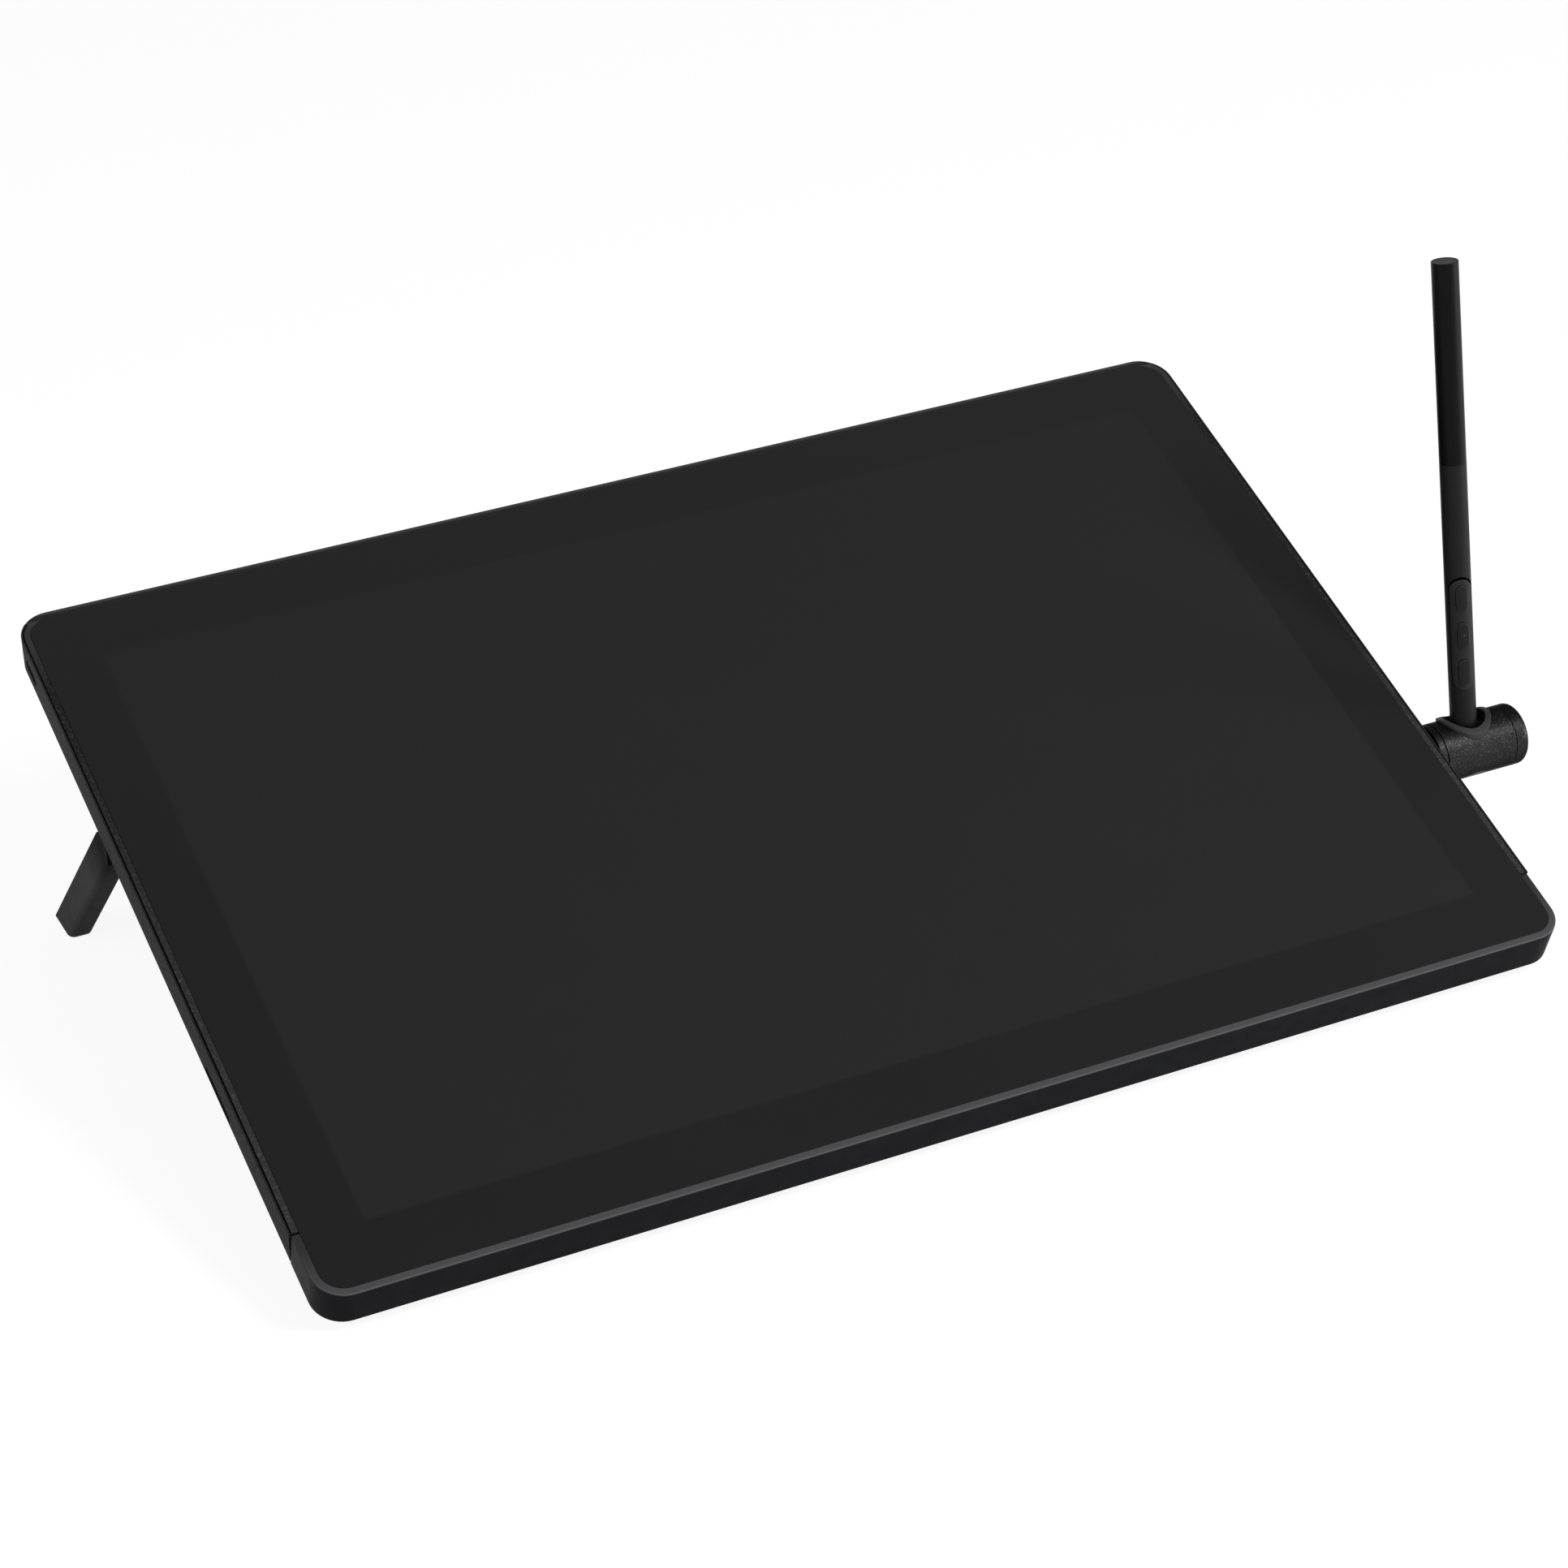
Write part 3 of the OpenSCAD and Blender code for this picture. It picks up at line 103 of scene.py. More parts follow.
class Nodes:
    """A node tree being put together."""

    def __init__(self, tree: bpy.types.NodeTree) -> None:
        """Takes up a tree.

        Args:
            tree: Tree that nodes are added to.
        """
        self.tree = tree

    def add(self, kind: str, inputs: dict[str | int, object] | None = None, **settings: object
            ) -> bpy.types.Node:
        """Adds a node, sets it and feeds it.

        Args:
            kind: Type of the node, without its ShaderNode prefix.
            inputs: Socket values by name or number; a socket as the value is linked.
            **settings: Properties of the node itself.

        Returns:
            The new node.
        """
        node = self.tree.nodes.new("ShaderNode" + kind)
        for key, value in settings.items():
            setattr(node, key, value)
        for key, value in (inputs or {}).items():
            self.feed(node.inputs[key], value)
        return node

    def feed(self, socket: Socket, value: object) -> None:
        """Links an output to a socket, or sets a plain value on it.

        Args:
            socket: Input that is fed.
            value: An output socket, a number or a colour.
        """
        if isinstance(value, Socket):
            self.tree.links.new(value, socket)
        else:
            socket.default_value = value

    def span(self, value: Socket, source: Span, target: Span = (0.0, 1.0)) -> Socket:
        """Maps one range of a value onto another, and clamps it.

        Args:
            value: Value to map.
            source: Both ends of its range.
            target: Results at both ends.

        Returns:
            The mapped value.
        """
        node = self.add("MapRange", {"Value": value, "From Min": source[0], "From Max": source[1],
                                     "To Min": target[0], "To Max": target[1]})
        return node.outputs["Result"]

    def ramp(self, value: Socket, span_mm: Span, falls: bool = False) -> Socket:
        """Goes from 0 to 1 over a stretch, or from 1 to 0.

        Args:
            value: Coordinate in metres.
            span_mm: Both ends of the stretch in millimetres.
            falls: Whether it goes from 1 to 0.

        Returns:
            The share.
        """
        source = (span_mm[0] * MM, span_mm[1] * MM)
        return self.span(value, source, (1.0, 0.0) if falls else (0.0, 1.0))

    def blend(self, factor: Socket, first: Socket | Colour, second: Socket | Colour) -> Socket:
        """Mixes two colours.

        Args:
            factor: Share of the second colour.
            first: Colour or output socket.
            second: Colour or output socket.

        Returns:
            The mixed colour.
        """
        ends = [end if isinstance(end, Socket) else (*end, 1.0) for end in (first, second)]
        node = self.add("Mix", data_type="RGBA",
                        inputs={MIX_FACTOR: factor, MIX_FIRST: ends[0], MIX_SECOND: ends[1]})
        return node.outputs[MIX_RESULT]

    def math(self, operation: str, first: Socket, second: Socket | float = 0.0) -> Socket:
        """Works out a value from one or two others.

        Args:
            operation: Name of the math operation.
            first: Output socket.
            second: Number or output socket, for operations that need it.

        Returns:
            The result.
        """
        return self.add("Math", {0: first, 1: second}, operation=operation).outputs[0]


class Sheet(Nodes):
    """A node material being put together."""

    def __init__(self, name: str) -> None:
        """Starts a material with its principled shader.

        Args:
            name: Name of the material.
        """
        self.material = bpy.data.materials.new(name)
        self.material.use_nodes = True
        super().__init__(self.material.node_tree)
        self.body = self.tree.nodes["Principled BSDF"]

    def place(self) -> Socket:
        """Returns the object coordinates, which are the part's own frame in metres."""
        return self.add("TexCoord").outputs["Object"]

    def flat_place(self, panel: "PanelFrame") -> dict[str, Socket]:
        """Returns the coordinates in the slab's flat frame, in metres.

        Args:
            panel: The slab's flat frame.

        Returns:
            The X, Y and Z outputs by name.
        """
        flat = self.add("Mapping", {"Vector": self.place(), "Location": panel.origin,
                                    "Rotation": (math.radians(panel.tilt_deg), 0, 0)}, vector_type="TEXTURE")
        parts = self.add("SeparateXYZ", {"Vector": flat.outputs["Vector"]})
        return {axis: parts.outputs[axis] for axis in "XYZ"}

    def noise(self, size_mm: float, detail: float = 2.0, where: Socket | None = None) -> Socket:
        """Adds noise with grains of a real size.

        Args:
            size_mm: Size of a grain in millimetres.
            detail: Octaves of the noise.
            where: Coordinates, the part's own frame if none are given.

        Returns:
            The noise value, from 0 to 1.
        """
        source = where if where is not None else self.place()
        node = self.add("TexNoise", {"Vector": source, "Scale": 1 / (size_mm * MM), "Detail": detail})
        return node.outputs[0]

    def cells(self, size_mm: float) -> Socket:
        """Adds a random grey per cell.

        Args:
            size_mm: Size of a cell in millimetres.

        Returns:
            The cells' random colour.
        """
        node = self.add("TexVoronoi", {"Vector": self.place(), "Scale": 1 / (size_mm * MM)})
        return node.outputs["Color"]

    def rounded_normal(self, radius_mm: float) -> Socket:
        """Returns the surface normal with the edges rounded off.

        Args:
            radius_mm: Radius of the rounding in millimetres.

        Returns:
            The rounded normal.
        """
        return self.add("Bevel", {"Radius": radius_mm * MM}, samples=BEVEL_SAMPLES).outputs["Normal"]

    def edge(self, normal: Socket) -> Socket:
        """Finds the worn edges, where the rounded normal leaves the face's own.

        Args:
            normal: Rounded normal.

        Returns:
            A mask, 1 on the edges.
        """
        flat = self.add("NewGeometry").outputs["Normal"]
        dot = self.add("VectorMath", {0: normal, 1: flat}, operation="DOT_PRODUCT")
        return self.span(dot.outputs["Value"], EDGE_COSINE, (1.0, 0.0))

    def bump(self, height: Socket, depth_mm: float, normal: Socket) -> Socket:
        """Adds bumps of a real depth.

        Args:
            height: Height from 0 to 1.
            depth_mm: Depth of the bumps in millimetres.
            normal: Normal that they are added to.

        Returns:
            The bumped normal.
        """
        node = self.add("Bump", {"Height": height, "Distance": depth_mm * MM, "Normal": normal})
        return node.outputs["Normal"]


@dataclass(frozen=True)
class Finish:
    """A finish with slow mottling, grain, flecks and worn edges."""

    name: str
    colour: Colour
    roughness: float
    texture: Texture = Texture.COATED
    metallic: float = 0.0
    specular: float = 0.5
    edge_tint: float = 1.0
    grain_mm: float = 0.25
    bump_mm: float = 0.01
    mottle: float = 0.12
    mottle_mm: float = 14.0
    spread: float = 0.05
    fleck: float = 0.0
    fleck_mm: float = 0.3
    edge_mm: float = 0.15
    wear: float = 0.25
    wear_mm: float = 2.0

    def shade(self, factor: float) -> Colour:
        """Returns the finish's colour, lighter or darker by a factor."""
        return tuple(min(1.0, c * factor) for c in self.colour)

    def tone(self, sheet: Sheet) -> Socket:
        """Makes the slow variation of the colour.

        Args:
            sheet: Material being made.

        Returns:
            The colour.
        """
        slow = sheet.span(sheet.noise(self.mottle_mm, SLOW_DETAIL), MOTTLE_NOISE)
        return sheet.blend(slow, self.shade(1 - self.mottle), self.shade(1 + self.mottle))

    def flecked(self, sheet: Sheet, colour: Socket) -> Socket:
        """Lays light flecks over the colour.

        Args:
            sheet: Material being made.
            colour: Colour under the flecks.

        Returns:
            The flecked colour.
        """
        if not self.fleck:
            return colour
        mask = sheet.span(sheet.noise(self.fleck_mm, FLECK_DETAIL), FLECK_NOISE)
        return sheet.blend(mask, colour, self.shade(1 + self.fleck))

    def height(self, sheet: Sheet) -> Socket:
        """Makes the height of the grain.

        Args:
            sheet: Material being made.

        Returns:
            The height, from 0 to 1.
        """
        if self.texture is Texture.BLASTED:
            return sheet.cells(self.grain_mm)
        where = None
        if self.texture is Texture.DRAWN:
            stretch = sheet.add("Mapping", {"Vector": sheet.place(), "Scale": DRAWN_STRETCH})
            where = stretch.outputs["Vector"]
        return sheet.noise(self.grain_mm, GRAIN_DETAIL[self.texture], where)

    def material(self) -> bpy.types.Material:
        """Makes the material, or finds it if it is made already.

        Returns:
            The material.
        """
        made = bpy.data.materials.get(self.name)
        if made is not None:
            return made
        sheet = Sheet(self.name)
        normal = sheet.rounded_normal(self.edge_mm)
        colour = self.flecked(sheet, self.tone(sheet))
        worn = sheet.math("MULTIPLY", sheet.edge(normal), sheet.noise(self.wear_mm))
        rough = sheet.span(sheet.noise(self.mottle_mm / ROUGH_FINER, SLOW_DETAIL), MOTTLE_NOISE,
                           (max(LOWEST_ROUGHNESS, self.roughness - self.spread),
                            min(1.0, self.roughness + self.spread)))
        if self.texture is not Texture.SMOOTH:
            normal = sheet.bump(self.height(sheet), self.bump_mm, normal)
        inputs = {
            "Base Color": sheet.blend(worn, colour, self.shade(1 + WEAR_GAIN * self.wear)),
            "Roughness": rough,
            "Normal": normal,
            "Metallic": self.metallic,
            "Specular IOR Level": self.specular,
            "Specular Tint": (self.edge_tint, self.edge_tint, self.edge_tint, 1.0),
        }
        for name, value in inputs.items():
            sheet.feed(sheet.body.inputs[name], value)
        return sheet.material


@dataclass(frozen=True)
class PanelFrame:
    """The slab's own flat frame, tilted onto its legs."""

    tilt_deg: float
    origin: Vector

    @classmethod
    def from_glass(cls, tilt_deg: float, glass_mm: float) -> "PanelFrame":
        """Finds the frame from where the cover glass lies.

        Args:
            tilt_deg: Tilt of the screen.
            glass_mm: Thickness of the cover glass.

        Returns:
            The panel frame.
        """
        low, high = (Vector(corner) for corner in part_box("cover_glass"))
        normal = Matrix.Rotation(math.radians(tilt_deg), 3, "X") @ Vector((0, 0, 1))
        return cls(tilt_deg, (low + high) / 2 + normal * (glass_mm * MM / 2))

    def turn(self) -> Matrix:
        """Returns the rotation from the panel frame to the part's frame."""
        return Matrix.Rotation(math.radians(self.tilt_deg), 3, "X")

    def matrix(self) -> Matrix:
        """Returns the whole transform from the panel frame, in metres, to the part's frame."""
        return Matrix.Translation(self.origin) @ self.turn().to_4x4()

    def point(self, x: float, y: float, z: float) -> Vector:
        """Returns a point given in the panel frame, in millimetres, in the part's frame."""
        return self.matrix() @ (Vector((x, y, z)) * MM)

    def spot(self, x: float, y: float, z: float) -> Matrix:
        """Returns the transform to a point given in the panel frame, in millimetres."""
        return self.matrix() @ Matrix.Translation(Vector((x, y, z)) * MM)


@dataclass(frozen=True)
class PlacedFinish(Finish):
    """A finish whose colour depends on the place on the slab."""

    panel: PanelFrame | None = None


@dataclass(frozen=True)
class EtchedGlass(PlacedFinish):
    """The etched cover glass, with the lit area a shade lighter than its border, and a painted reflection
    that lightens the border towards the back.
    """

    lit: Colour = (0.0182, 0.0182, 0.0185)
    lit_half: tuple[float, float] = (172.3, 107.7)
    soft_mm: float = 0.6
    # Painted reflection: the border's colour at the back, reached over the stretch along y below.
    border_back_reflection: Colour = (0.0163, 0.0163, 0.0166)
    shading_ramp_mm: Span = (10.0, 122.0)

    def tone(self, sheet: Sheet) -> Socket:
        """Makes the border's colour, with its painted reflection towards the back, and the lit area's inside
        it.

        Args:
            sheet: Material being made.

        Returns:
            The colour.
        """
        flat = sheet.flat_place(self.panel)
        inside = [sheet.ramp(sheet.math("ABSOLUTE", flat[axis]), (half - self.soft_mm, half + self.soft_mm),
                             falls=True)
                  for axis, half in zip("XY", self.lit_half)]
        # Painted reflection: the border lightens towards the back.
        border = sheet.blend(sheet.ramp(flat["Y"], self.shading_ramp_mm), super().tone(sheet), self.border_back_reflection)
        return sheet.blend(sheet.math("MULTIPLY", *inside), border, self.lit)


@dataclass(frozen=True)
class RimHighlightCoat(PlacedFinish):
    """The frame's coat, with painted highlights on the rim round the glass, brightest along its front and on
    its rounded edge, and painted shade on the back rim's inner part.
    """

    # Painted highlights on the rim's flat and rounded edge, at the front and on the sides.
    rim: Colour = (0.067, 0.067, 0.070)
    rim_edge_highlight: Colour = (0.098, 0.098, 0.101)
    side_rim_highlight: Colour = (0.030, 0.030, 0.031)
    side_edge_highlight: Colour = (0.044, 0.044, 0.046)
    rim_mm: Span = (-0.63, -0.28)
    flat_mm: Span = (-0.22, -0.11)
    front_highlight_mm: Span = (-127.0, -111.0)
    # Painted highlight on the rim at the far corners.
    corner_rim_highlight: Colour = (0.046, 0.046, 0.047)
    corner_highlight_mm: Span = (95.0, 112.0)
    # Painted shade on the back rim's inner part, and a painted highlight on its outer edge.
    inner_rim_shade: Colour = (0.020, 0.020, 0.0205)
    inner_shade_mm: Span = (125.6, 126.6)
    back_rim_highlight: Colour = (0.052, 0.052, 0.053)
    back_highlight_mm: Span = (127.5, 128.3)

    def tone(self, sheet: Sheet) -> Socket:
        """Makes the walls' colour, and the painted highlights and shade of the rim's flat and its edge above
        it.

        Args:
            sheet: Material being made.

        Returns:
            The colour.
        """
        flat = sheet.flat_place(self.panel)
        front = sheet.ramp(flat["Y"], self.front_highlight_mm, falls=True)
        on_edge = sheet.ramp(flat["Z"], self.flat_mm, falls=True)
        on_rim = sheet.ramp(flat["Z"], self.rim_mm)
        # Painted highlight on the rim's flat: brightest at the front, lighter at the far corners, painted
        # shade on the back rim's inner part, lighter again at its outer edge.
        top = sheet.blend(front, self.side_rim_highlight, self.rim)
        for colour, span_mm in ((self.corner_rim_highlight, self.corner_highlight_mm), (self.inner_rim_shade, self.inner_shade_mm),
                                (self.back_rim_highlight, self.back_highlight_mm)):
            top = sheet.blend(sheet.ramp(flat["Y"], span_mm), top, colour)
        # Painted highlight on the rim's rounded edge, brightest at the front.
        edge = sheet.blend(front, self.side_edge_highlight, self.rim_edge_highlight)
        return sheet.blend(on_rim, super().tone(sheet), sheet.blend(on_edge, top, edge))


@dataclass(frozen=True)
class LedgedPlastic(PlacedFinish):
    """The rails' plastic, with a lighter and coarser ledge beside the glass; painted shade darkens the ledge
    and its specks towards the back, a painted highlight lightens the ledge at the far corner, and painted
    light lightens the outer face towards the back.
    """

    ledge: Colour = (0.030, 0.030, 0.0302)
    # Painted shade: the ledge and its specks darken towards the back to these colours.
    ledge_back_shade: Colour = (0.009, 0.009, 0.0092)
    speck: Colour = (0.066, 0.066, 0.066)
    speck_back_shade: Colour = (0.030, 0.030, 0.030)
    speck_mm: float = 0.8
    ledge_mm: Span = (-0.25, -0.15)
    shading_ramp_mm: Span = (-60.0, 120.0)
    # Painted highlight on the ledge at the far corner.
    corner: Colour = (0.036, 0.036, 0.0364)
    corner_highlight_mm: Span = (98.0, 116.0)
    # Painted light: the outer face grows lighter towards the back by this factor.
    wall_back_light: float = 1.7
    wall_light_mm: Span = (20.0, 120.0)

    def tone(self, sheet: Sheet) -> Socket:
        """Makes the outer face's colour and the specked ledge above it, with their painted light and shade.

        Args:
            sheet: Material being made.

        Returns:
            The colour.
        """
        flat = sheet.flat_place(self.panel)
        back = sheet.ramp(flat["Y"], self.shading_ramp_mm)
        specks = sheet.span(sheet.noise(self.speck_mm), SPECK_NOISE)
        # Painted shade darkens the ledge and its specks towards the back.
        ledge = sheet.blend(specks, sheet.blend(back, self.ledge, self.ledge_back_shade),
                            sheet.blend(back, self.speck, self.speck_back_shade))
        # Painted highlight on the ledge at the far corner.
        ledge = sheet.blend(sheet.ramp(flat["Y"], self.corner_highlight_mm), ledge, self.corner)
        # Painted light: the outer face grows lighter towards the back.
        wall = sheet.blend(sheet.ramp(flat["Y"], self.wall_light_mm), super().tone(sheet),
                           self.shade(self.wall_back_light))
        return sheet.blend(sheet.ramp(flat["Z"], self.ledge_mm), wall, ledge)


@dataclass(frozen=True)
class UnderSlabShadeCoat(PlacedFinish):
    """The legs' coat, with painted shade that darkens it up towards the slab."""

    # Painted shade: how dark the coat gets next to the slab, and the stretch in panel z over which it
    # darkens.
    painted_shade: float = 0.18
    painted_shade_mm: Span = (-42.0, -20.0)

    def tone(self, sheet: Sheet) -> Socket:
        """Makes the coat's colour and paints shade on it towards the slab.

        Args:
            sheet: Material being made.

        Returns:
            The colour.
        """
        # Painted shade: the coat darkens up towards the slab.
        under = sheet.ramp(sheet.flat_place(self.panel)["Z"], self.painted_shade_mm)
        return sheet.blend(under, super().tone(sheet), self.shade(self.painted_shade))


def new_object(name: str, shape: bmesh.types.BMesh, smooth_deg: float = 30.0) -> bpy.types.Object:
    """Turns a bmesh into an object of the scene.

    Args:
        name: Name of the object.
        shape: Mesh, which is freed.
        smooth_deg: Edges sharper than this stay sharp.

    Returns:
        The object.
    """
    bmesh.ops.recalc_face_normals(shape, faces=shape.faces)
    for face in shape.faces:
        face.smooth = True
    for edge in shape.edges:
        edge.smooth = len(edge.link_faces) == 2 and edge.calc_face_angle() < math.radians(smooth_deg)
    mesh = bpy.data.meshes.new(name)
    shape.to_mesh(mesh)
    shape.free()
    made = bpy.data.objects.new(name, mesh)
    bpy.context.scene.collection.objects.link(made)
    return made


def lathe(shape: bmesh.types.BMesh, outline: Sequence[tuple[float, float]], place: Matrix, steps: int = 48,
          wave: Callable[[float, float], float] | None = None, waved: int = 0, closed: bool = False
          ) -> list[list[bmesh.types.BMVert]]:
    """Turns an outline about z and adds it to a mesh.

    Args:
        shape: Mesh that is added to.
        outline: Points of radius and height in millimetres; a radius of 0 closes the end.
        place: Where the turned piece goes.
        steps: Steps round the axis.
        wave: Change of the radius by angle and height, for threads.
        waved: How many points of the outline, from its start, have the wave.
        closed: Whether the outline's end joins its start.

    Returns:
        The rings of vertices.
    """
    rings: list[list[bmesh.types.BMVert]] = []
    for index, (radius, height) in enumerate(outline):
        if radius == 0:
            rings.append([shape.verts.new(place @ Vector((0, 0, height * MM)))])
            continue
        ring = []
        for step in range(steps):
            angle = 2 * math.pi * step / steps
            r = radius + (wave(angle, height) if wave and index < waved else 0.0)
            corner = Vector((r * math.cos(angle), r * math.sin(angle), height)) * MM
            ring.append(shape.verts.new(place @ corner))
        rings.append(ring)
    pairs = list(zip(rings, rings[1:])) + ([(rings[-1], rings[0])] if closed else [])
    for low, high in pairs:
        for step in range(steps):
            after = (step + 1) % steps
            corners = [low[step % len(low)], low[after % len(low)],
                       high[after % len(high)], high[step % len(high)]]
            shape.faces.new(list(dict.fromkeys(corners)))
    return rings


def cross_screw(shape: bmesh.types.BMesh, outline: Sequence[tuple[float, float]], place: Matrix, arm: float,
                depth: float) -> None:
    """Adds a screw whose head has a tapered cross recess.

    Args:
        shape: Mesh that is added to.
        outline: Points of radius and height in millimetres, from the head's face to the tip.
        place: Where the screw goes, with z from its head to its tip.
        arm: Reach of the recess's arms in millimetres.
        depth: Depth of the recess in millimetres.
    """
    rim = lathe(shape, outline, place)[0]
    half = arm / CROSS_SLIMNESS
    quarter = [(arm, -half), (arm, half), (half, half)]
    cross = [Matrix.Rotation(math.radians(90 * turn), 2) @ Vector(corner)
             for turn in range(4) for corner in quarter]
    mouth = [shape.verts.new(place @ (Vector((*point, 0)) * MM)) for point in cross]
    floor = [shape.verts.new(place @ (Vector((*(point * CROSS_TAPER), depth)) * MM)) for point in cross]
    edges = [shape.edges.get(pair) or shape.edges.new(pair)
             for loop in (rim, mouth) for pair in zip(loop, loop[1:] + loop[:1])]
    bmesh.ops.triangle_fill(shape, use_beauty=True, edges=edges)
    for step, corner in enumerate(mouth):
        before = step - 1
        shape.faces.new((mouth[before], corner, floor[step], floor[before]))
    shape.faces.new(floor)


def prism(shape: bmesh.types.BMesh, outline: Sequence[tuple[float, float]], low: float, high: float,
          place: Matrix) -> None:
    """Adds a flat piece with a given outline.

    Args:
        shape: Mesh that is added to.
        outline: Points of x and y in millimetres.
        low: Height of its lower face.
        high: Height of its upper face.
        place: Where the piece goes.
    """
    faces = [[shape.verts.new(place @ (Vector((x, y, z)) * MM)) for x, y in outline] for z in (low, high)]
    for step in range(len(outline)):
        before = step - 1
        shape.faces.new((faces[0][before], faces[0][step], faces[1][step], faces[1][before]))
    for loop in faces:
        shape.faces.new(loop)


@dataclass
class SubAssembly:
    """Shared work of the sub-assemblies: dressing frame nodes and adding pieces."""

    panel: PanelFrame

    def finishes(self) -> dict[str, Finish]:
        """Returns the finish of each frame node of the sub-assembly."""
        raise NotImplementedError

    def extras(self) -> None:
        """Adds what the frame lacks; most sub-assemblies have nothing to add."""

    def build(self) -> None:
        """Dresses the frame nodes and adds the rest."""
        for node, finish in self.finishes().items():
            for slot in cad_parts[node].material_slots:
                slot.material = finish.material()
            LOG.info("%s: %s", node, finish.name)
        self.extras()

    def add(self, piece: bpy.types.Object, body: str, slot: str, finish: Finish,
            stands_for: str = "") -> None:
        """Adds a piece of the scene's own to a body.

        Args:
            piece: Object that is added.
            body: Body that it rides on.
            slot: Material slot of the record; not used.
            finish: Finish that it gets.
            stands_for: Frame node that it replaces, if any.
        """
        piece.data.materials.append(finish.material())
        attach(piece, body)
        if stands_for:
            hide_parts(stands_for)
        LOG.info("%s: %s, on %s", piece.name, finish.name, body)


RUBBER = Finish("black rubber", (0.014, 0.014, 0.014), 0.75, Texture.COATED, specular=0.15, grain_mm=0.3,
                bump_mm=0.02, edge_mm=0.3, wear=0.1)
STEEL = Finish("bright steel", (0.55, 0.55, 0.56), 0.28, Texture.DRAWN, metallic=1.0, bump_mm=0.003,
               mottle=0.06)
DARK_STEEL = Finish("blackened steel", (0.07, 0.07, 0.072), 0.38, Texture.COATED, metallic=0.9, bump_mm=0.004)
GOLD = Finish("contact gold", (0.78, 0.50, 0.16), 0.25, Texture.SMOOTH, metallic=1.0, mottle=0.05)
BOARD_GREEN = Finish("circuit board", (0.012, 0.075, 0.035), 0.4, Texture.COATED, grain_mm=0.6, bump_mm=0.01)
SHEET_METAL = Finish("zinc sheet", (0.5, 0.51, 0.52), 0.4, Texture.DRAWN, metallic=1.0, bump_mm=0.004)
WHITE_PLASTIC = Finish("white plastic", (0.72, 0.72, 0.70), 0.45, Texture.COATED, bump_mm=0.004, mottle=0.03)


@dataclass
class Screen(SubAssembly):
    """Cover glass and the layers of the display under it."""

    border: Colour = (0.0141, 0.0141, 0.0144)

    clear: Finish = Finish("clear film", (0.75, 0.78, 0.8), 0.25, Texture.SMOOTH, mottle=0.02)
    panel_glass: Finish = Finish("panel glass", (0.02, 0.02, 0.024), 0.15, Texture.SMOOTH, mottle=0.05)
    lamp_strip: Finish = Finish("lamp strip", (0.75, 0.66, 0.3), 0.4, Texture.COATED, grain_mm=1.5)

    def finishes(self) -> dict[str, Finish]:
        """Returns the finish of each layer."""
        etched = EtchedGlass("etched glass", self.border, 0.42, Texture.COATED, specular=0.10, grain_mm=0.12,
                             bump_mm=0.0012, mottle=0.04, mottle_mm=60.0, spread=0.02, edge_mm=0.1,
                             wear=0.5, panel=self.panel)
        return {
            "cover_glass": etched,
            "optical_bond": self.clear,
            "glass_gasket": RUBBER,
            "lcd_panel": self.panel_glass,
            "film_stack": WHITE_PLASTIC,
            "light_guide": self.clear,
            "led_bar": self.lamp_strip,
            "reflector_sheet": WHITE_PLASTIC,
            "backlight_tray": SHEET_METAL,
            "sensor_board": BOARD_GREEN,
            "shield_plate": SHEET_METAL,
        }


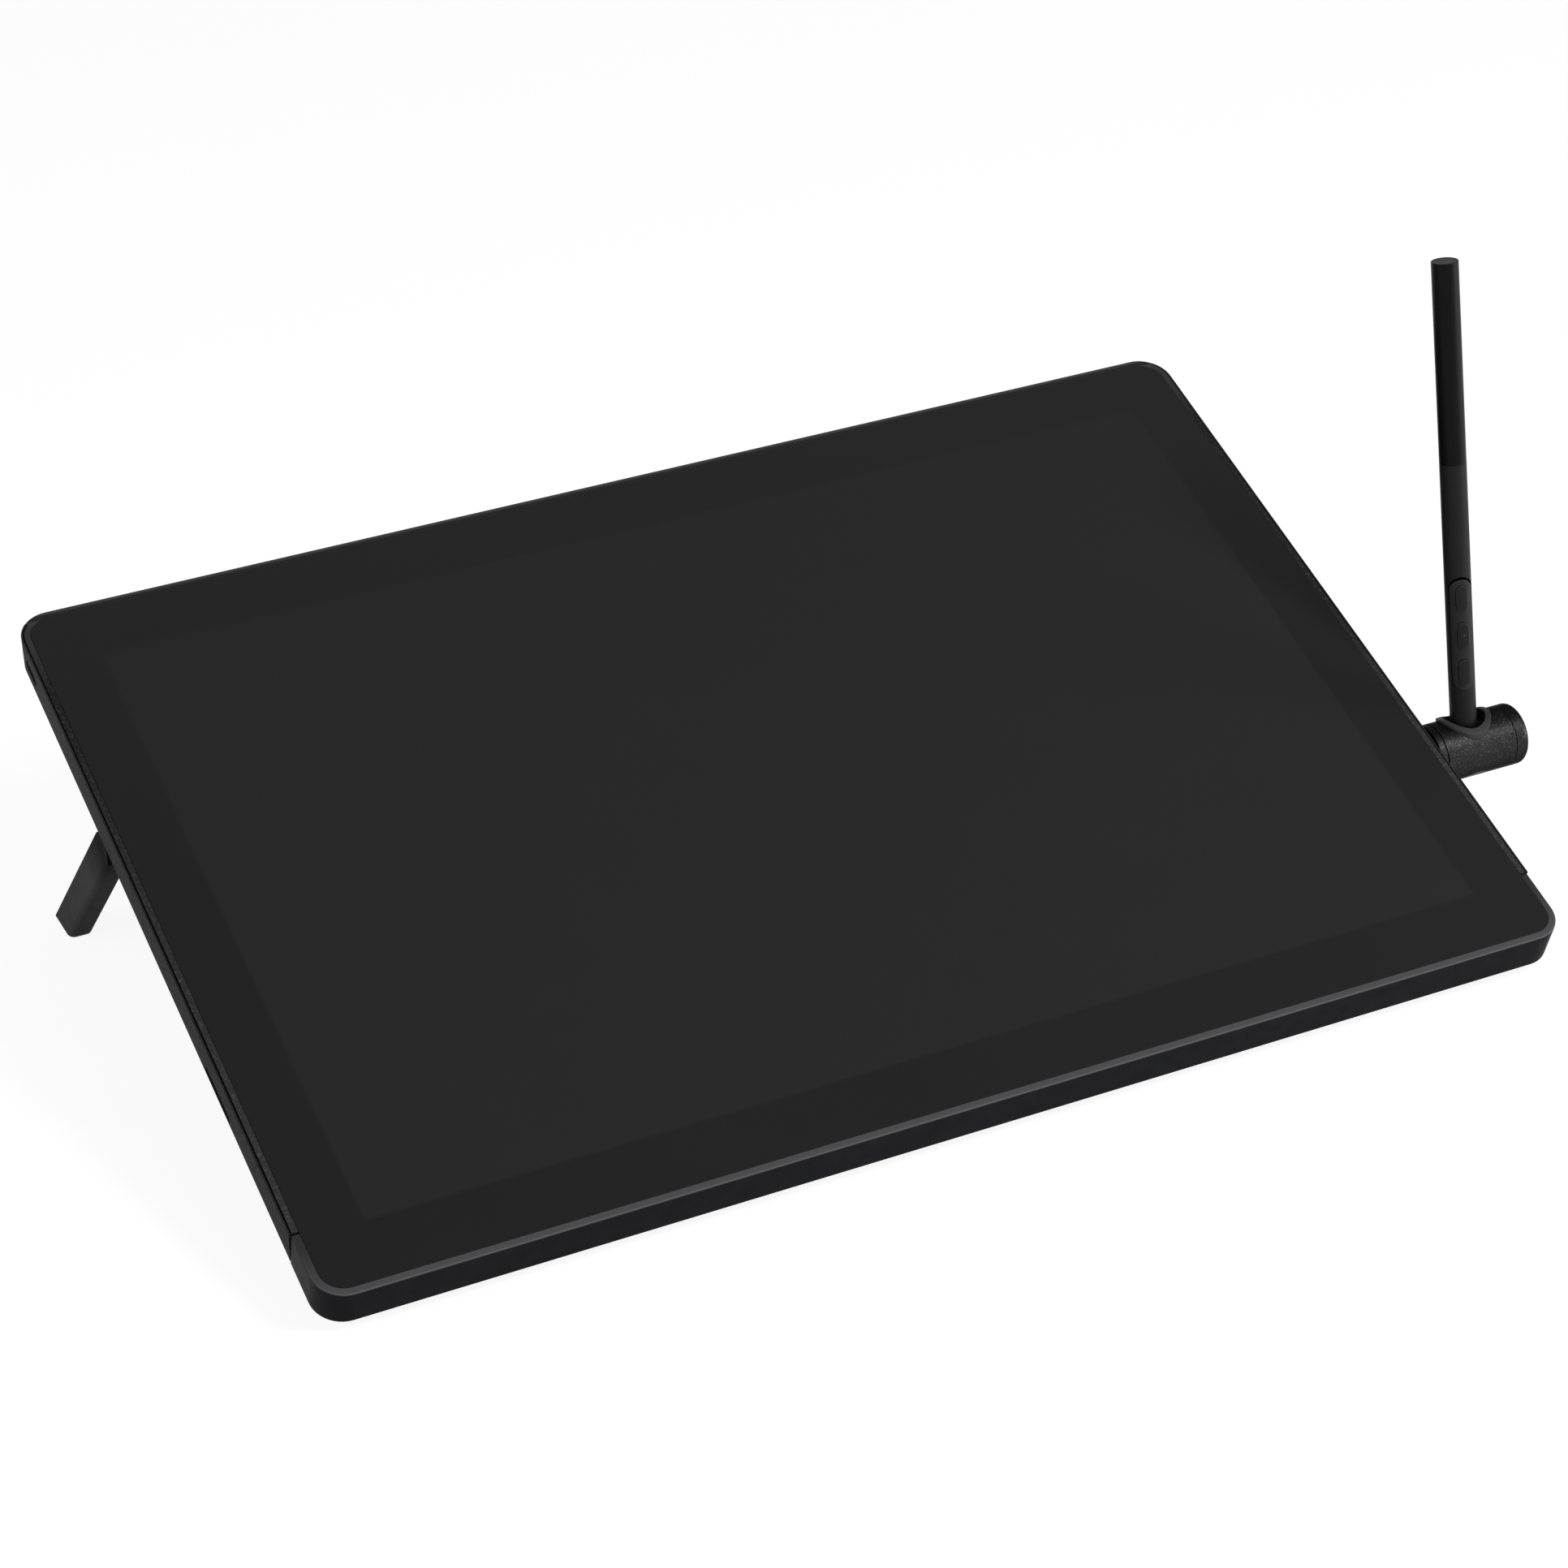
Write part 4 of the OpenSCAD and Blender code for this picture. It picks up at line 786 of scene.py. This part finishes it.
@dataclass
class Slab(SubAssembly):
    """Frame, side rails, rear cover and what is fixed to the back."""

    z_edge: float = -12.4
    z_back: float = -21.0
    z_deck: float = -8.6
    screw_x: tuple[float, ...] = (-129.6, -64.6, 64.6, 129.6)
    screw_y: tuple[float, ...] = (-120.5, 115.3)
    head_r: float = 2.3
    head_t: float = 1.1
    head_round: float = 0.2
    shank_r: float = 1.0
    cross_arm: float = 1.35
    cross_depth: float = 0.8
    insert_x: float = 37.5
    insert_y: tuple[float, float] = (-47.5, 27.5)
    insert_r: float = 2.9
    insert_hole_r: float = 1.65
    insert_l: float = 5.0
    thread_pitch: float = 0.7
    thread_depth: float = 0.3
    thread_steps: int = 8
    foot_round: float = 0.5
    round_steps: int = 3
    sharp_deg: float = 50.0
    weld_mm: float = 0.002

    cover_plastic: Finish = Finish("cover plastic", (0.016, 0.016, 0.0168), 0.6, Texture.ERODED, specular=0.2,
                                   grain_mm=0.3, bump_mm=0.025, mottle=0.12, edge_mm=0.25, wear=0.15)
    brass: Finish = Finish("insert brass", (0.55, 0.38, 0.14), 0.3, Texture.DRAWN, metallic=1.0,
                           bump_mm=0.003)

    def finishes(self) -> dict[str, Finish]:
        """Returns the finish of each piece of the slab."""
        rail = LedgedPlastic("rail plastic", (0.018, 0.018, 0.018), 0.6, Texture.ERODED, specular=0.015,
                             grain_mm=0.30, bump_mm=0.06, mottle=0.10, mottle_mm=6.0, fleck=1.3,
                             fleck_mm=0.32, edge_mm=0.12, wear=0.8, wear_mm=0.5, panel=self.panel)
        # The frame's coat carries painted highlights and shade on its rim.
        coat = RimHighlightCoat("frame coat", (0.0045, 0.0047, 0.0060), 0.5, Texture.COATED, specular=0.035,
                          grain_mm=0.14, bump_mm=0.004, mottle=0.08, edge_mm=0.12, wear=0.3, panel=self.panel)
        return {
            "mid_frame": coat,
            "left_side_rail": rail,
            "right_side_rail": rail,
            "rear_cover": self.cover_plastic,
            "rubber_feet": RUBBER,
        }

    def soften_feet(self) -> None:
        """Rounds the feet's sharp edges, as moulded rubber has them."""
        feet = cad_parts["rubber_feet"]
        weld = feet.modifiers.new("weld", "WELD")
        weld.merge_threshold = self.weld_mm * MM
        bevel = feet.modifiers.new("soften", "BEVEL")
        bevel.width = self.foot_round * MM
        bevel.segments = self.round_steps
        bevel.limit_method = "ANGLE"
        bevel.angle_limit = math.radians(self.sharp_deg)
        bevel.harden_normals = True

    def screws(self) -> bpy.types.Object:
        """Makes the cover screws, with a cross recess in each head.

        Returns:
            All the screws as one object.
        """
        shape = bmesh.new()
        crown = self.head_r - self.head_round
        length = self.z_deck - self.z_edge
        outline = [(crown, 0.0), (self.head_r, self.head_round), (self.head_r, self.head_t),
                   (self.shank_r, self.head_t), (self.shank_r, length), (0.0, length)]
        for x in self.screw_x:
            for y in self.screw_y:
                place = self.panel.spot(x, y, self.z_edge)
                cross_screw(shape, outline, place, self.cross_arm, self.cross_depth)
        return new_object("cover_screws_cross", shape)

    def thread(self, angle: float, height: float) -> float:
        """Returns how far the thread's groove goes out at an angle and a height."""
        phase = (height / self.thread_pitch - angle / (2 * math.pi)) % 1.0
        return self.thread_depth * abs(2 * phase - 1)

    def inserts(self) -> bpy.types.Object:
        """Makes the threaded inserts of the rear mount.

        Returns:
            All the inserts as one object.
        """
        shape = bmesh.new()
        steps = self.thread_steps * int(self.insert_l / self.thread_pitch)
        bore = [(self.insert_hole_r, self.insert_l * k / steps) for k in range(steps + 1)]
        outline = [*bore, (self.insert_r, self.insert_l), (self.insert_r, 0.0)]
        for x in (-self.insert_x, self.insert_x):
            for y in self.insert_y:
                lathe(shape, outline, self.panel.spot(x, y, self.z_back), wave=self.thread, waved=len(bore),
                      closed=True)
        return new_object("rear_mount_inserts_threaded", shape)

    def extras(self) -> None:
        """Rounds the feet and adds the screws and the inserts."""
        self.soften_feet()
        self.add(self.screws(), "tablet", "screw_steel", DARK_STEEL, "cover_screws")
        self.add(self.inserts(), "tablet", "insert_brass", self.brass, "rear_mount_inserts")


@dataclass
class Electronics(SubAssembly):
    """Boards, cables, sockets and the power button."""

    tongue_in: float = 1.0
    tongue_t: float = 0.7
    contact_n: int = 12
    contact_pitch: float = 0.5
    contact_w: float = 0.26
    contact_l: float = 2.6
    contact_in: float = 0.4
    contact_t: float = 0.02

    chip: Finish = Finish("chip epoxy", (0.015, 0.015, 0.016), 0.5, Texture.COATED, bump_mm=0.006)
    cable: Finish = Finish("flat cable", (0.42, 0.20, 0.05), 0.35, Texture.DRAWN, grain_mm=0.8, bump_mm=0.02)
    button_coat: Finish = Finish("button coat", (0.016, 0.0163, 0.0172), 0.45, Texture.COATED, specular=0.15,
                                 grain_mm=0.14, bump_mm=0.004, edge_mm=0.2)

    def finishes(self) -> dict[str, Finish]:
        """Returns the finish of each piece."""
        return {
            "main_board": BOARD_GREEN,
            "port_boards": BOARD_GREEN,
            "panel_flex": self.cable,
            "sensor_flex": self.cable,
            "board_chips": self.chip,
            "power_switch": self.chip,
            "heat_spreader": SHEET_METAL,
            "board_screws": STEEL,
            "usb_sockets": STEEL,
            "power_button": self.button_coat,
        }

    def contacts(self) -> bpy.types.Object:
        """Makes the sockets' contacts, a row on each side of each tongue.

        Returns:
            All the contacts as one object.
        """
        low, high = (Vector(corner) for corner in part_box("usb_sockets"))
        centre = self.panel.matrix().inverted() @ ((low + high) / 2) / MM
        mouth = (high - low).x / 2 / MM
        front = mouth - self.tongue_in - self.contact_in
        back, half = front - self.contact_l, self.contact_w / 2
        strip = [(back, -half), (front - half, -half), (front, -half / 2), (front, half / 2),
                 (front - half, half), (back, half)]
        shape = bmesh.new()
        for side in (-1, 1):
            for k in range(self.contact_n):
                y = centre.y + (k - (self.contact_n - 1) / 2) * self.contact_pitch
                place = self.panel.spot(centre.x, y, centre.z)
                for face in (-1, 1):
                    base = face * self.tongue_t / 2
                    prism(shape, [(side * u, v) for u, v in strip], base, base + face * self.contact_t, place)
        return new_object("usb_contacts", shape)

    def extras(self) -> None:
        """Adds the contacts."""
        self.add(self.contacts(), "tablet", "insert_brass", GOLD)


@dataclass
class Stand(SubAssembly):
    """The two folding legs with their pins and tips."""

    def finishes(self) -> dict[str, Finish]:
        """Returns the finish of each piece of both legs."""
        # The leg coat carries painted shade up towards the slab.
        coat = UnderSlabShadeCoat("leg coat", (0.043, 0.043, 0.043), 0.5, Texture.COATED, specular=0.003,
                          grain_mm=0.12, bump_mm=0.004, mottle=0.06, edge_mm=0.4, wear=0.15, panel=self.panel)
        kinds = {"leg": coat, "leg_tip": RUBBER, "hinge_pin": STEEL}
        pieces = {f"{side}_{kind}": finish for side in ("left", "right") for kind, finish in kinds.items()}
        return {**pieces, "hinge_washers": STEEL}


@dataclass
class PenHolder(SubAssembly):
    """The holder on the right side, with its bracket, liner and cap."""

    screw_place: Triple = (186.15, -48.6, -11.5)
    screw_head_r: float = 2.3
    screw_head_t: float = 1.05
    screw_r: float = 1.2
    screw_l: float = 6.4
    cross_arm: float = 1.3
    cross_depth: float = 0.8

    anodised: Finish = Finish("anodised holder", (0.027, 0.027, 0.0273), 0.36, Texture.BLASTED, metallic=1.0,
                              edge_tint=0.40, grain_mm=0.40, bump_mm=0.03, mottle=0.06, edge_mm=0.25,
                              wear=0.3, fleck=1.6, fleck_mm=0.45)
    lining: Finish = Finish("holder lining", (0.026, 0.026, 0.0262), 0.55, Texture.COATED, specular=0.2,
                            grain_mm=0.15, bump_mm=0.006, edge_mm=0.25, wear=0.3)
    nib_black: Finish = Finish("nib black", (0.012, 0.012, 0.012), 0.5, Texture.SMOOTH)

    def finishes(self) -> dict[str, Finish]:
        """Returns the finish of each piece of the holder."""
        return {
            "holder_bracket": self.anodised,
            "holder_body": self.anodised,
            "holder_cap": self.anodised,
            "holder_liner": self.lining,
            "spare_nibs": self.nib_black,
            "holder_washer": STEEL,
            "holder_screw": STEEL,
            "nib_puller": STEEL,
        }

    def screw(self) -> bpy.types.Object:
        """Makes the bracket's countersunk screw with its cross recess.

        Returns:
            The screw.
        """
        shape = bmesh.new()
        outline = [(self.screw_head_r, 0.0), (self.screw_r, self.screw_head_t), (self.screw_r, self.screw_l),
                   (0.0, self.screw_l)]
        cross_screw(shape, outline, self.panel.spot(*self.screw_place), self.cross_arm, self.cross_depth)
        return new_object("bracket_screw_cross", shape)

    def extras(self) -> None:
        """Adds the bracket's screw."""
        self.add(self.screw(), "tablet", "screw_steel", DARK_STEEL, "bracket_screw")


@dataclass
class Pen(SubAssembly):
    """The pen with its barrels, switches and inner pieces."""

    front_coat: Finish = Finish("pen front coat", (0.010, 0.010, 0.0101), 0.5, Texture.COATED, specular=0.12,
                                grain_mm=0.08, bump_mm=0.002, mottle=0.05, edge_mm=0.1, wear=0.5)
    rear_coat: Finish = Finish("pen rear coat", (0.0010, 0.0010, 0.0011), 0.40, Texture.COATED,
                               specular=0.115, grain_mm=0.08, bump_mm=0.002, mottle=0.05, edge_mm=0.1,
                               wear=1.5)
    # The switch plate's and the buttons' strong edge lightening is partly wear and partly a painted highlight
    # on their outlines.
    plate_coat: Finish = Finish("switch plate coat", (0.017, 0.017, 0.0172), 0.48, Texture.COATED,
                                specular=0.15, grain_mm=0.08, bump_mm=0.002, edge_mm=0.22, wear=3.0)
    button_coat: Finish = Finish("pen button coat", (0.012, 0.012, 0.0122), 0.42, Texture.COATED,
                                 specular=0.12, grain_mm=0.08, bump_mm=0.002, edge_mm=0.35, wear=2.2)
    tail_plastic: Finish = Finish("tail plastic", (0.022, 0.022, 0.0222), 0.5, Texture.COATED, specular=0.1,
                                  grain_mm=0.1, bump_mm=0.003, mottle=0.03, wear=0.0)
    board_black: Finish = Finish("pen circuit board", (0.006, 0.006, 0.0062), 0.5, Texture.COATED,
                                 specular=0.15, grain_mm=0.6, bump_mm=0.01)
    ferrite: Finish = Finish("ferrite", (0.05, 0.05, 0.055), 0.45, Texture.COATED, bump_mm=0.01)
    copper: Finish = Finish("coil copper", (0.60, 0.26, 0.10), 0.3, Texture.DRAWN, metallic=1.0, grain_mm=0.1,
                            bump_mm=0.02)

    def finishes(self) -> dict[str, Finish]:
        """Returns the finish of each piece of the pen."""
        return {
            "pen_front_barrel": self.front_coat,
            "pen_rear_barrel": self.rear_coat,
            "pen_tail_cap": self.tail_plastic,
            "pen_switch_plate": self.plate_coat,
            "pen_button_front": self.button_coat,
            "pen_button_middle": self.button_coat,
            "pen_button_rear": self.button_coat,
            "pen_nib": self.front_coat,
            "pen_plunger": WHITE_PLASTIC,
            "pen_ferrite": self.ferrite,
            "pen_coil": self.copper,
            "pen_pressure_sensor": WHITE_PLASTIC,
            "pen_inner_frame": WHITE_PLASTIC,
            "pen_board": self.board_black,
        }


@dataclass
class PhotoCamera:
    """A camera at the photograph's viewing angle."""

    panel: PanelFrame
    lens: float = 94.92
    sensor: float = 36.0
    place: Triple = (-433.86, -693.62, 885.43)
    right: Triple = (0.90273, -0.41411, 0.11657)
    up: Triple = (0.23795, 0.70636, 0.66665)

    def build(self) -> None:
        """Makes the camera and hands it to the scene."""
        data = bpy.data.cameras.new("photo_camera")
        data.lens = self.lens
        data.sensor_width = self.sensor
        camera = bpy.data.objects.new("photo_camera", data)
        right = Vector(self.right).normalized()
        back = right.cross(Vector(self.up)).normalized()
        axes = Matrix((right, back.cross(right), back)).transposed()
        place = Matrix.Translation(self.panel.point(*self.place))
        camera.matrix_world = place @ (self.panel.turn() @ axes).to_4x4()
        bpy.context.scene.collection.objects.link(camera)
        bpy.context.scene.camera = camera


@dataclass(frozen=True)
class SoftBox:
    """A soft lamp that shines on the object from one side."""

    name: str
    towards: Triple
    distance: float
    size: float
    level: float

    def build(self, aim: Vector) -> None:
        """Hangs the lamp.

        Args:
            aim: Point that it shines at.
        """
        data = bpy.data.lights.new(self.name, "AREA")
        data.shape = "DISK"
        data.size = self.size
        data.energy = self.level * math.pi ** 2 * self.distance ** 2
        lamp = bpy.data.objects.new(self.name, data)
        away = Vector(self.towards).normalized()
        lamp.location = aim + away * self.distance
        lamp.rotation_mode = "QUATERNION"
        lamp.rotation_quaternion = (-away).to_track_quat("-Z", "Y")
        lamp.visible_camera = False
        bpy.context.scene.collection.objects.link(lamp)


@dataclass
class Studio:
    """A white floor and world, and soft lamps round the object."""

    floor_size: float = 16.0
    floor_drop_mm: float = 0.05
    floor_base: float = 0.8
    floor_rough: float = 0.9
    floor_glow: float = 0.90
    floor_colour: float = 0.15
    ambient: float = 0.28
    backdrop_rise: Span = (0.10, 0.45)
    aim: Triple = (0.0, 0.0, 0.06)
    lamps: tuple[SoftBox, ...] = (
        SoftBox("key", (0.34, -0.61, 0.72), 1.6, 0.42, 0.58),
        SoftBox("left_fill", (-0.90, -0.15, 0.42), 1.7, 1.1, 0.30),
        SoftBox("right_edge", (0.87, -0.47, 0.15), 1.6, 0.7, 0.46),
    )

    def seen(self, nodes: Nodes, backdrop: Socket | None = None) -> Socket:
        """Finds the rays that see the background.

        Args:
            nodes: Node tree that is added to.
            backdrop: Share of the background that gloss shows, all of it if none is given.

        Returns:
            1 for rays from the camera, from gloss and through glass.
        """
        path = nodes.add("LightPath").outputs
        gloss = path["Is Glossy Ray"]
        if backdrop is not None:
            gloss = nodes.math("MULTIPLY", gloss, backdrop)
        shown = nodes.math("MAXIMUM", path["Is Camera Ray"], path["Is Transmission Ray"])
        return nodes.math("MAXIMUM", shown, gloss)

    def backdrop(self, nodes: Nodes) -> Socket:
        """Finds the white backdrop round the object, under the darker ceiling.

        Args:
            nodes: Node tree of the world.

        Returns:
            1 on the backdrop, 0 on the ceiling.
        """
        sight = nodes.add("TexCoord").outputs["Generated"]
        rise = nodes.add("SeparateXYZ", {"Vector": sight}).outputs["Z"]
        return nodes.span(rise, self.backdrop_rise, (1.0, 0.0))

    def build_world(self) -> None:
        """Makes the world white to the eye and even to the object."""
        world = bpy.data.worlds.new("studio_world")
        world.use_nodes = True
        nodes = Nodes(world.node_tree)
        background = nodes.tree.nodes["Background"]
        seen = self.seen(nodes, self.backdrop(nodes))
        nodes.feed(background.inputs["Color"], (1.0, 1.0, 1.0, 1.0))
        nodes.feed(background.inputs["Strength"], nodes.span(seen, (0.0, 1.0), (self.ambient, 1.0)))
        bpy.context.scene.world = world

    def floor_material(self) -> bpy.types.Material:
        """Makes the floor's material: white to the eye, pale in the shadow, clear from below.

        Returns:
            The material.
        """
        sheet = Sheet("studio floor")
        base, pale = ((grey, grey, grey, 1.0) for grey in (self.floor_base, self.floor_colour))
        inputs = {"Base Color": base, "Roughness": self.floor_rough, "Specular IOR Level": 0.0}
        for name, value in inputs.items():
            sheet.feed(sheet.body.inputs[name], value)
        shade = sheet.add("BsdfDiffuse", {"Color": pale})
        glow = sheet.add("Emission", {"Strength": self.floor_glow})
        white = sheet.add("AddShader", {0: shade.outputs[0], 1: glow.outputs[0]})
        shown = sheet.add("MixShader", {0: self.seen(sheet), 1: sheet.body.outputs[0], 2: white.outputs[0]})
        from_below = sheet.add("NewGeometry").outputs["Backfacing"]
        below = sheet.add("MixShader", {0: from_below, 1: shown.outputs[0],
                                        2: sheet.add("BsdfTransparent").outputs[0]})
        sheet.feed(sheet.tree.nodes["Material Output"].inputs["Surface"], below.outputs[0])
        return sheet.material

    def build_floor(self) -> None:
        """Lays the floor just under the feet."""
        shape = bmesh.new()
        half = self.floor_size / 2
        corners = [shape.verts.new((x, y, -self.floor_drop_mm * MM))
                   for x, y in ((-half, -half), (half, -half), (half, half), (-half, half))]
        shape.faces.new(corners)
        mesh = bpy.data.meshes.new("studio_floor")
        shape.to_mesh(mesh)
        shape.free()
        floor = bpy.data.objects.new("studio_floor", mesh)
        bpy.context.scene.collection.objects.link(floor)
        mesh.materials.append(self.floor_material())

    def build(self) -> None:
        """Sets up world, floor and lamps."""
        self.build_world()
        self.build_floor()
        for lamp in self.lamps:
            lamp.build(Vector(self.aim))
        bpy.context.scene.view_settings.view_transform = "Standard"


def main() -> None:
    """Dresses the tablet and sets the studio."""
    logging.basicConfig(level=logging.INFO, format="%(name)s: %(message)s")
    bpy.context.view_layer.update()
    panel = PanelFrame.from_glass(tilt_deg=20.0, glass_mm=1.0)
    PhotoCamera(panel).build()
    Studio().build()
    for group in (Screen, Slab, Electronics, Stand, PenHolder, Pen):
        group(panel).build()


if __name__ == "__main__":
    main()
